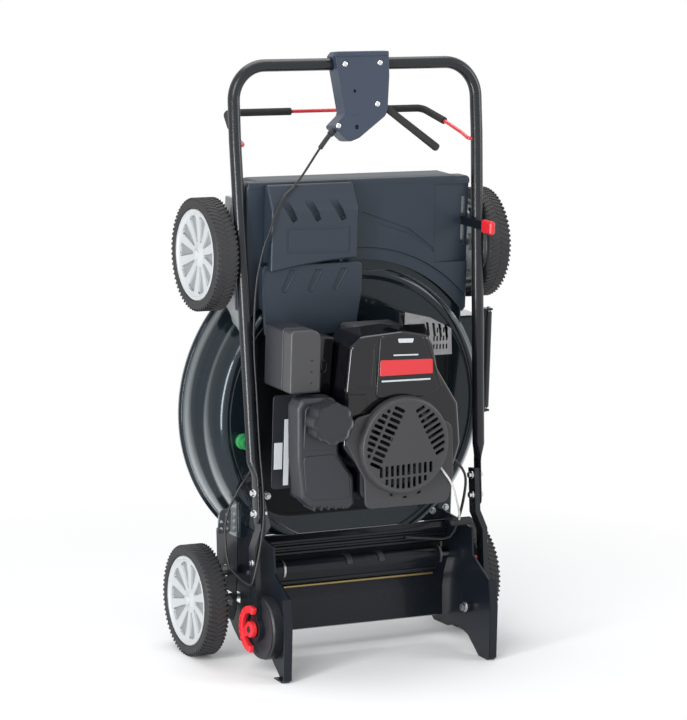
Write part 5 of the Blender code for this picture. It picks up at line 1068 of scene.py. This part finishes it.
def make_cables():
    """One drive cable: along the left tube, over the fold axis and in a loop to the drive."""
    upper = [(-0.06, 0.88, 0.012), (-0.085, 0.85, 0.014), (-0.1397, 0.787, 0.022), (-0.1689, 0.767, 0.033),
             (-0.19, 0.736, 0.04), (-0.201, 0.706, 0.039), (-0.209, 0.684, 0.0345), (-0.216, 0.649, 0.026),
             (-0.2205, 0.604, 0.0165), (-0.2245, 0.51, 0.0105), (-0.2225, 0.42, 0.0105),
             (-0.2197, 0.31, 0.011), (-0.2187, 0.262, 0.0152), (-0.2187, 0.2, 0.0152), (-0.225, 0.16, 0.0152),
             (-0.233, 0.125, 0.0155), (-0.2395, 0.1, 0.0152), (-0.2425, 0.086, 0.0115)]
    turn = STAND.inverted() @ FOLD
    loop = [(-0.2432, 0.063, 0.259), (-0.244, 0.06, 0.233), (-0.249, 0.068, 0.208), (-0.2522, 0.08, 0.184),
            (-0.2522, 0.115, 0.166), (-0.248, 0.165, 0.16), (-0.23, 0.215, 0.168), (-0.205, 0.25, 0.165),
            (-0.195, 0.29, 0.1612), (-0.195, 0.34, 0.1612)]
    whole = [turn @ Vector(point) for point in upper] + [Vector(point) for point in loop]
    cable = wire("drive_cable_line", whole, 0.0021, sides=3)
    piece = finished(cable, cable_jacket, None, angle=60)
    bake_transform(piece)
    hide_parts("drive_cable", "drive_cable_loop")


def lock_point(reach, turn):
    """A point beside the fold axis, in the plane that the lock levers turn in."""
    return FOLD_Y - reach * math.cos(turn), FOLD_Z - reach * math.sin(turn)


def make_lock_levers():
    """The C-shaped levers with their finger ridges, and the ringed drums that they sit on."""
    for (side_name, side), surface in zip(SIDES, (red_moulding, matt_plastic)):
        ends = sorted((side * 0.238, side * 0.2486))
        arc = []
        for reach, order in ((LOCK_ARC + LOCK_WIDTH / 2, 1), (LOCK_ARC - LOCK_WIDTH / 2, -1)):
            for step in range(25)[::order]:
                arc.append(lock_point(reach, LOCK_START + LOCK_SWEEP * step / 24))
        lever = soften(plate("lock", arc, *ends, axis="x"), 0.0026, 3, 50)
        web = plate("web", [(FOLD_Y - 0.003, FOLD_Z + 0.011), (FOLD_Y - 0.012, FOLD_Z - 0.004),
                            (FOLD_Y - 0.022, FOLD_Z - 0.03), (FOLD_Y - 0.008, FOLD_Z - 0.033),
                            (FOLD_Y + 0.011, FOLD_Z - 0.008)], ends[0] + 0.0012, ends[1] - 0.0012, axis="x")
        hub = disc("hub", (FOLD_Y, FOLD_Z), 0.0145, ends[0] + 0.0003, ends[1] - 0.0003, "x", 32)
        weld(lever, soften(web, 0.0015, 2), soften(hub, 0.0015, 2))
        carve(lever, disc("bore", (FOLD_Y, FOLD_Z), 0.0062, ends[0] - 0.01, ends[1] + 0.01, "x", 24))
        ridges = []
        for step in range(6):
            turn = LOCK_START + LOCK_SWEEP * (0.3 + 0.08 * step)
            ridge = [(ends[0] + 0.0108 * (side > 0) - 0.0001, *lock_point(reach, turn))
                     for reach in (LOCK_ARC - 0.0045, LOCK_ARC + 0.0045)]
            ridges.append(wire("ridge", ridge, 0.001, smooth=False, sides=2))
        finished(together("lock_piece_" + side_name, [lever] + ridges), surface, "lock_lever_" + side_name,
                 "lock_lever_" + side_name, angle=40)
        drum = welded_copy("handle_knuckle_" + side_name, "knuckle_piece_" + side_name)
        soften(drum, 0.0012, 2, 28)
        ring = turned("drum_ring", [(0.045, side * 0.2268), (0.054, side * 0.2268), (0.054, side * 0.2279),
                                    (0.045, side * 0.2279)], 64, "x", (FOLD_Y, FOLD_Z), closed=True)
        drum.data.transform(STAND.inverted())
        finished(together("knuckle_piece_" + side_name, [drum, ring]), matt_plastic, "chassis",
                 "handle_knuckle_" + side_name, angle=32)


def make_brackets():
    """Bracket plates with their edges rounded, and the bolt heads at the fold axis."""
    for side_name in ("left", "right"):
        bracket = soften(welded_copy("handle_bracket_" + side_name, "bracket_piece_" + side_name), 0.0007, 2)
        finished(bracket, bracket_paint, "chassis", "handle_bracket_" + side_name, standing=None, angle=30)
    fasteners("fold_bolts", NUT, zinc, "chassis", [((side * 0.1922, FOLD_Y, FOLD_Z), (-side, 0, 0), 0.0195)
                                                   for side in (-1, 1)])


# Engine

SHROUD_OUTLINE = [(-0.112, 0.318), (-0.109, 0.42), (-0.103, 0.497), (-0.08, 0.516), (0.0, 0.521),
                  (0.052, 0.512), (0.064, 0.494), (0.074, 0.45), (0.117, 0.385), (0.125, 0.31), (0.104, 0.24),
                  (0.07, 0.212), (-0.058, 0.212), (-0.076, 0.232), (-0.078, 0.275)]
INTAKE_RADIUS = 0.076
MARK_LEVELS = (SHROUD_TOP - 0.001, SHROUD_TOP + 0.0003)
CAP_CENTRE = (-0.152, 0.3724)
CAP_LOBES = 8
TANK_MIDDLE = Vector((-0.149, 0.31, 0))
WALL = 0.003


def make_shroud():
    """Gloss blower housing: rounded shoulders, raised rim, sunk side panels, label plateau and intake."""
    deck_level = SHROUD_TOP - 0.003
    shroud = slab("shroud", SHROUD_OUTLINE, (0.016, 8), (SHROUD_LOW, deck_level), (0.0095, 5, 50))
    inner = slab("inner", [(x * 0.955, 0.35 + (y - 0.35) * 0.965) for x, y in SHROUD_OUTLINE], (0.014, 4),
                 (SHROUD_LOW - 0.02, deck_level - WALL))
    plateau = slab("plateau", [(-0.0465, 0.515), (0.04, 0.5105), (0.0745, 0.413), (0.04, 0.402),
                               (-0.0515, 0.404)], (0.008, 5), (SHROUD_TOP - 0.012, SHROUD_TOP),
                   (0.0024, 4, 50))
    weld(shroud, plateau)
    panels = [[(-0.096, 0.425), (-0.06, 0.423), (-0.057, 0.499), (-0.086, 0.496)],
              [(-0.099, 0.34), (-0.093, 0.405), (-0.062, 0.404), (-0.083, 0.36)]]
    for outline in panels:
        carve(shroud, slab("panel", outline, (0.008, 5), (deck_level - 0.0012, deck_level + 0.02),
                           (0.0009, 2, 50)))
    intake = disc("intake", (0.0, CRANK_Y), INTAKE_RADIUS, 0.33, 0.36, steps=64)
    carve(shroud, inner, intake)
    ribs = []
    for low_x, low_y, high_x, high_y in ((-0.07, 0.413, -0.103, 0.415), (-0.056, 0.504, -0.05, 0.41),
                                         (0.08, 0.418, 0.048, 0.505)):
        rib = wire("rib", [(low_x, low_y, deck_level - 0.0006), (high_x, high_y, deck_level - 0.0006)],
                   0.0016, smooth=False, sides=3)
        ribs.append(rib)
    finished(together("shroud", [shroud] + ribs), shroud_plastic, "chassis", "blower_shroud", angle=32)
    band = slab("plain_band", [(-0.045, 0.4725), (0.059, 0.4695), (0.0605, 0.4435), (-0.0455, 0.444)],
                (0.0015, 2), MARK_LEVELS)
    finished(soften(band, 0.0002, 1), red_lacquer, "chassis")
    strips = [slab("strip", outline, (0.0016, 3), MARK_LEVELS)
              for outline in ([(-0.01, 0.502), (0.018, 0.501), (0.02, 0.5085), (-0.012, 0.5095)],
                              [(-0.02, 0.479), (0.03, 0.4775), (0.03, 0.48), (-0.02, 0.4815)],
                              [(-0.042, 0.433), (0.056, 0.432), (0.056, 0.435), (-0.042, 0.436)])]
    finished(together("plain_marks", strips), bare_strip, "chassis")


def make_recoil():
    """The slotted starter cover over its square-shouldered base, with three holes below."""
    low = SHROUD_TOP + 0.0003
    base = [(-0.113, 0.33, 0.01), (-0.074, 0.262, 0.012), (-0.07, 0.207, 0.015), (0.096, 0.207, 0.018),
            (0.106, 0.26, 0.02), (0.1, 0.35, 0.02), (0.0, 0.395, 0.06), (-0.095, 0.372, 0.02)]
    cover = slab("recoil", base, (0.012, 8), (low, low + 0.007), (0.0024, 4, 50))
    hat = turned("hat", eased([(0.0, low + 0.001), (0.088, low + 0.001), (0.088, GRILLE_TOP - 0.0085),
                               (0.085, GRILLE_TOP - 0.0012), (0.0815, GRILLE_TOP),
                               (0.0795, GRILLE_TOP - 0.001), (0.0, GRILLE_TOP - 0.001)], 0.0024, 4), 112,
                 centre=(0.0, CRANK_Y))
    weld(cover, hat)
    carve(cover, disc("hollow", (0.0, CRANK_Y), 0.0815, low - 0.01, GRILLE_TOP - 0.005, steps=64))
    for facing, count, pitch, near, far in ((155, 11, 0.0108, 0.03, 0.053), (155, 11, 0.0108, 0.057, 0.079),
                                            (272, 10, 0.011, 0.033, 0.053), (272, 10, 0.011, 0.0568, 0.079),
                                            (28, 9, 0.0112, 0.044, 0.079)):
        slots = []
        for number in range(count):
            across = (number - (count - 1) / 2) * pitch
            reach = min(far, math.sqrt(max(0.0775 ** 2 - across ** 2, 0.0)))
            if reach - near < 0.006:
                continue
            shape = rounded([(near, across - 0.0032), (reach, across - 0.0032), (reach, across + 0.0032),
                             (near, across + 0.0032)], 0.0024, 3)
            slot = plate("slot", shape, GRILLE_TOP - 0.009, GRILLE_TOP + 0.004)
            slot.data.transform(Matrix.Translation((0, CRANK_Y, 0))
                                @ Matrix.Rotation(math.radians(facing), 4, "Z"))
            slots.append(slot)
        carve(cover, together("slots", slots))
    for x, y, turn in ((-0.02, 0.23, -25), (0.008, 0.224, 0), (0.036, 0.2305, 25)):
        hole = block("hole", (-0.0042, 0.0042), (-0.0021, 0.0021), (low + 0.0025, low + 0.02))
        hole.data.transform(Matrix.Translation((x, y, 0)) @ Matrix.Rotation(math.radians(turn), 4, "Z"))
        carve(cover, hole)
    finished(soften(cover, 0.0004, 1, 60), recoil_plastic, "chassis", "recoil_cover", angle=32)


def make_fuel():
    """Moulded tank with seam, raised panels, ribs and neck, two plain strips, and the lobed cap."""
    corners = [(-0.193, 0.412), (-0.125, 0.409), (-0.119, 0.36), (-0.117, 0.31), (-0.101, 0.285),
               (-0.086, 0.265), (-0.083, 0.215), (-0.095, 0.206), (-0.17, 0.214), (-0.19, 0.232), (-0.2, 0.3),
               (-0.203, 0.395)]
    tank = slab("tank", corners, (0.014, 6), (0.2985, 0.3435), (0.01, 5, 50))
    below = [(max(x, -0.166), y - 0.004 * (y > 0.4)) for x, y in corners if x > -0.2 or y > 0.4 or y < 0.24]
    sump = slab("sump", below, (0.01, 5), (0.2455, 0.305), (0.004, 3, 50))
    shelf = slab("shelf", [(-0.203, 0.23), (-0.13, 0.23), (-0.13, 0.4), (-0.203, 0.4)], (0.008, 4),
                 (0.2452, 0.2464), (0.0003, 1))
    seam = slab("seam", corners, (0.014, 6), (0.308, 0.311), (0.0012, 2, 50))
    seam.data.transform(Matrix.Translation(TANK_MIDDLE) @ Matrix.Diagonal((1.014, 1.008, 1, 1))
                        @ Matrix.Translation(-TANK_MIDDLE))
    upper = slab("upper_panel", [(-0.188, 0.398), (-0.133, 0.396), (-0.128, 0.318), (-0.19, 0.318)],
                 (0.01, 6), (0.335, 0.345), (0.0022, 4, 50))
    lower = slab("lower_panel", [(-0.19, 0.309), (-0.128, 0.309), (-0.098, 0.27), (-0.094, 0.226),
                                 (-0.168, 0.229), (-0.183, 0.244)], (0.01, 6), (0.335, 0.345),
                 (0.0022, 4, 50))
    ribs = [soften(block("rib", (x, x + 0.0042), (0.2085, 0.226), (0.3, 0.3432)), 0.001)
            for x in (-0.166, -0.152, -0.138, -0.124, -0.11)]
    neck = turned("neck", [(0, 0.343), (0.031, 0.343), (0.031, 0.347), (0.028, 0.3485), (0.028, 0.357),
                           (0, 0.357)], 48, centre=CAP_CENTRE)
    lug = block("lug", (-0.125, -0.0698), (0.305, 0.335), (0.2445, 0.249))
    finished(together("tank", [tank, sump, shelf, seam, upper, lower, neck, lug] + ribs), tank_plastic,
             "chassis", "fuel_tank", angle=35)
    strips = [soften(block("strip", (-0.18, -0.17), (0.236, 0.356), (0.246, 0.2472)), 0.0003),
              soften(block("strip", (-0.199, -0.183), (0.266, 0.314), (0.246, 0.2472)), 0.0003)]
    finished(together("plain_strips", strips), bare_strip, "chassis")

    outline = []
    for step in range(128):
        turn = 2 * math.pi * step / 128
        wave = 0.5 - 0.5 * math.cos(CAP_LOBES * turn + 0.4)
        reach = 0.0385 - 0.0036 * wave ** 2
        outline.append((CAP_CENTRE[0] + reach * math.cos(turn), CAP_CENTRE[1] + reach * math.sin(turn)))
    cap = edge_line("cap", [(x, y, 0.3495) for x, y in outline])
    with editing(cap):
        bpy.ops.mesh.select_all(action="SELECT")
        bpy.ops.mesh.edge_face_add()
        bpy.ops.mesh.extrude_region_move(TRANSFORM_OT_translate={"value": (0, 0, 0.0355)})
        bpy.ops.mesh.inset(thickness=0.0014, depth=0.002)
        bpy.ops.mesh.inset(thickness=0.0022, depth=0.0014)
        bpy.ops.mesh.inset(thickness=0.003, depth=0.0006)
        tidy_normals()
    carve(cap, disc("socket", CAP_CENTRE, 0.0286, 0.34, 0.3576, steps=48))
    finished(cap, matt_plastic, "fuel_cap", "fuel_cap", angle=40)


def make_air_filter():
    """Air cleaner housing, its lid with a parting groove and three small dots, and the duct beside it."""
    outline = [(-0.212, 0.418, 0.006), (-0.152, 0.418, 0.009), (-0.152, 0.53, 0.022), (-0.212, 0.53, 0.009)]
    body = slab("filter", outline, (0.008, 8), (0.225, 0.296), (0.003, 3, 50))
    waist = slab("waist", [(x + 0.0016 * (1 if x < -0.18 else -1), y + 0.0016 * (1 if y < 0.47 else -1), r)
                           for x, y, r in outline], (0.008, 8), (0.29, 0.301))
    lid = slab("lid", outline, (0.008, 8), (0.298, 0.33), (0.0065, 5, 50))
    dots = [disc("dot", (-0.1705, y), 0.0016, 0.328, 0.34, steps=14) for y in (0.476, 0.456, 0.436)]
    carve(lid, *dots)
    finished(together("filter", [body, waist]), tank_plastic, "chassis", "air_filter", angle=35)
    finished(lid, lid_plastic, "chassis", angle=35)
    duct = slab("duct", [(-0.15, 0.406), (-0.111, 0.406), (-0.106, 0.508), (-0.15, 0.512)], (0.008, 5),
                (0.243, 0.29), (0.0045, 4, 50))
    loop = turned("loop", circle(0.0017, 8, (0.0085, 0.2902)), 28, closed=True)
    loop.data.transform(Matrix.Translation((-0.128, 0.456, 0)) @ Matrix.Diagonal((0.72, 1.35, 1, 1)))
    finished(together("intake_duct", [duct, loop]), shroud_plastic, "chassis", angle=35)


def make_guard():
    """Heat guard over the muffler, with three rows of slits."""
    guard = welded_copy("muffler_guard", "guard")
    guard.data.transform(STAND.inverted())
    slits = []
    for along in (0.511, 0.496, 0.481):
        for x in (0.085, 0.0915, 0.098, 0.1045, 0.111):
            slits.append(slab("slit", [(x, along - 0.0048), (x + 0.003, along - 0.0048),
                                       (x + 0.003, along + 0.0048), (x, along + 0.0048)],
                              (0.0014, 2), (0.29, 0.31)))
    carve(guard, *slits)
    finished(soften(guard, 0.0008, 2, 40), dented_steel, "chassis", "muffler_guard", angle=32)


def make_starter():
    """The pull grip and its white rope."""
    grip = welded_copy("starter_grip", "grip")
    finished(soften(grip, 0.003, 3), soft_rubber, "chassis", "starter_grip", standing=None, angle=40)
    rope = wire("rope", [(0.0768, 0.2737, 0.359), (0.1, 0.242, 0.3605), (0.119, 0.208, 0.346),
                         (0.14, 0.183, 0.318), (0.16, 0.162, 0.286), (0.1734, 0.1465, 0.2622)],
                0.0019, sides=3)
    finished(rope, white_rope, "chassis", "starter_rope", angle=60)


set_camera()
set_studio()
NUT, RIVET = model_nut(), model_rivet()
make_wheels()
make_deck()
make_tail()
make_front_cover()
make_belt_cover()
make_brackets()
make_lock_levers()
make_tube()
make_joints()
make_bail()
make_controls()
make_cables()
make_shroud()
make_recoil()
make_fuel()
make_air_filter()
make_guard()
make_starter()
TAIL_BOLTS = ((-0.16, 0.1534, 0.15), (-0.119, 0.1354, 0.15), (0.179, 0.1394, 0.15), (0.206, 0.1444, 0.15),
              (-0.167, 0.1964, 0.158))
fasteners("tail_bolts", NUT, zinc, "chassis", [((x, y, z + 0.0001), (0, 0, 1), 0.0135)
                                               for x, y, z in TAIL_BOLTS])
for pattern in (NUT, RIVET):
    bpy.data.objects.remove(pattern, do_unlink=True)

# Solids that keep their own form, with rounded edges
for node, surface, body, width in (("rear_door", gloss_paint, "rear_door", 0.0006),
                                   ("rear_baffle", gloss_paint, "chassis", 0.0006),
                                   ("handle_bar_left", tube_paint, "handle", 0.0012),
                                   ("handle_bar_right", tube_paint, "handle", 0.0012),
                                   ("side_deflector", matt_plastic, "side_deflector", 0.0006),
                                   ("front_height_knob", red_moulding, "front_axle", 0.001),
                                   ("rear_height_knob", red_moulding, "rear_axle", 0.001),
                                   ("deck_wash_port", green_moulding, "chassis", 0.001),
                                   ("dipstick", red_moulding, "dipstick", 0.0006)):
    dressed(node, surface, body, width)

# Solids that only need their surface
KEPT = {zinc: ("front_axle", "rear_axle", "door_hinge_rod", "deflector_rod", "door_spring", "crankshaft",
               "drive_shaft", "engine_pulley", "gearbox_pulley", "blade"),
        cast_metal: ("engine_block", "cylinder_head", "carburettor", "gearbox"),
        dark_iron: ("muffler", "flywheel"), cable_jacket: ("drive_belt", "stop_cable")}
for surface, nodes in KEPT.items():
    for node in nodes:
        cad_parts[node].material_slots[0].material = surface

# The lever strip of the front height adjuster is painted black
LEVER_STRIP = (0.214, 0.2205)
front_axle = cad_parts["front_axle"]
front_axle.data.materials.append(gloss_paint)
for polygon in front_axle.data.polygons:
    if LEVER_STRIP[0] < polygon.center.x < LEVER_STRIP[1]:
        polygon.material_index = 1
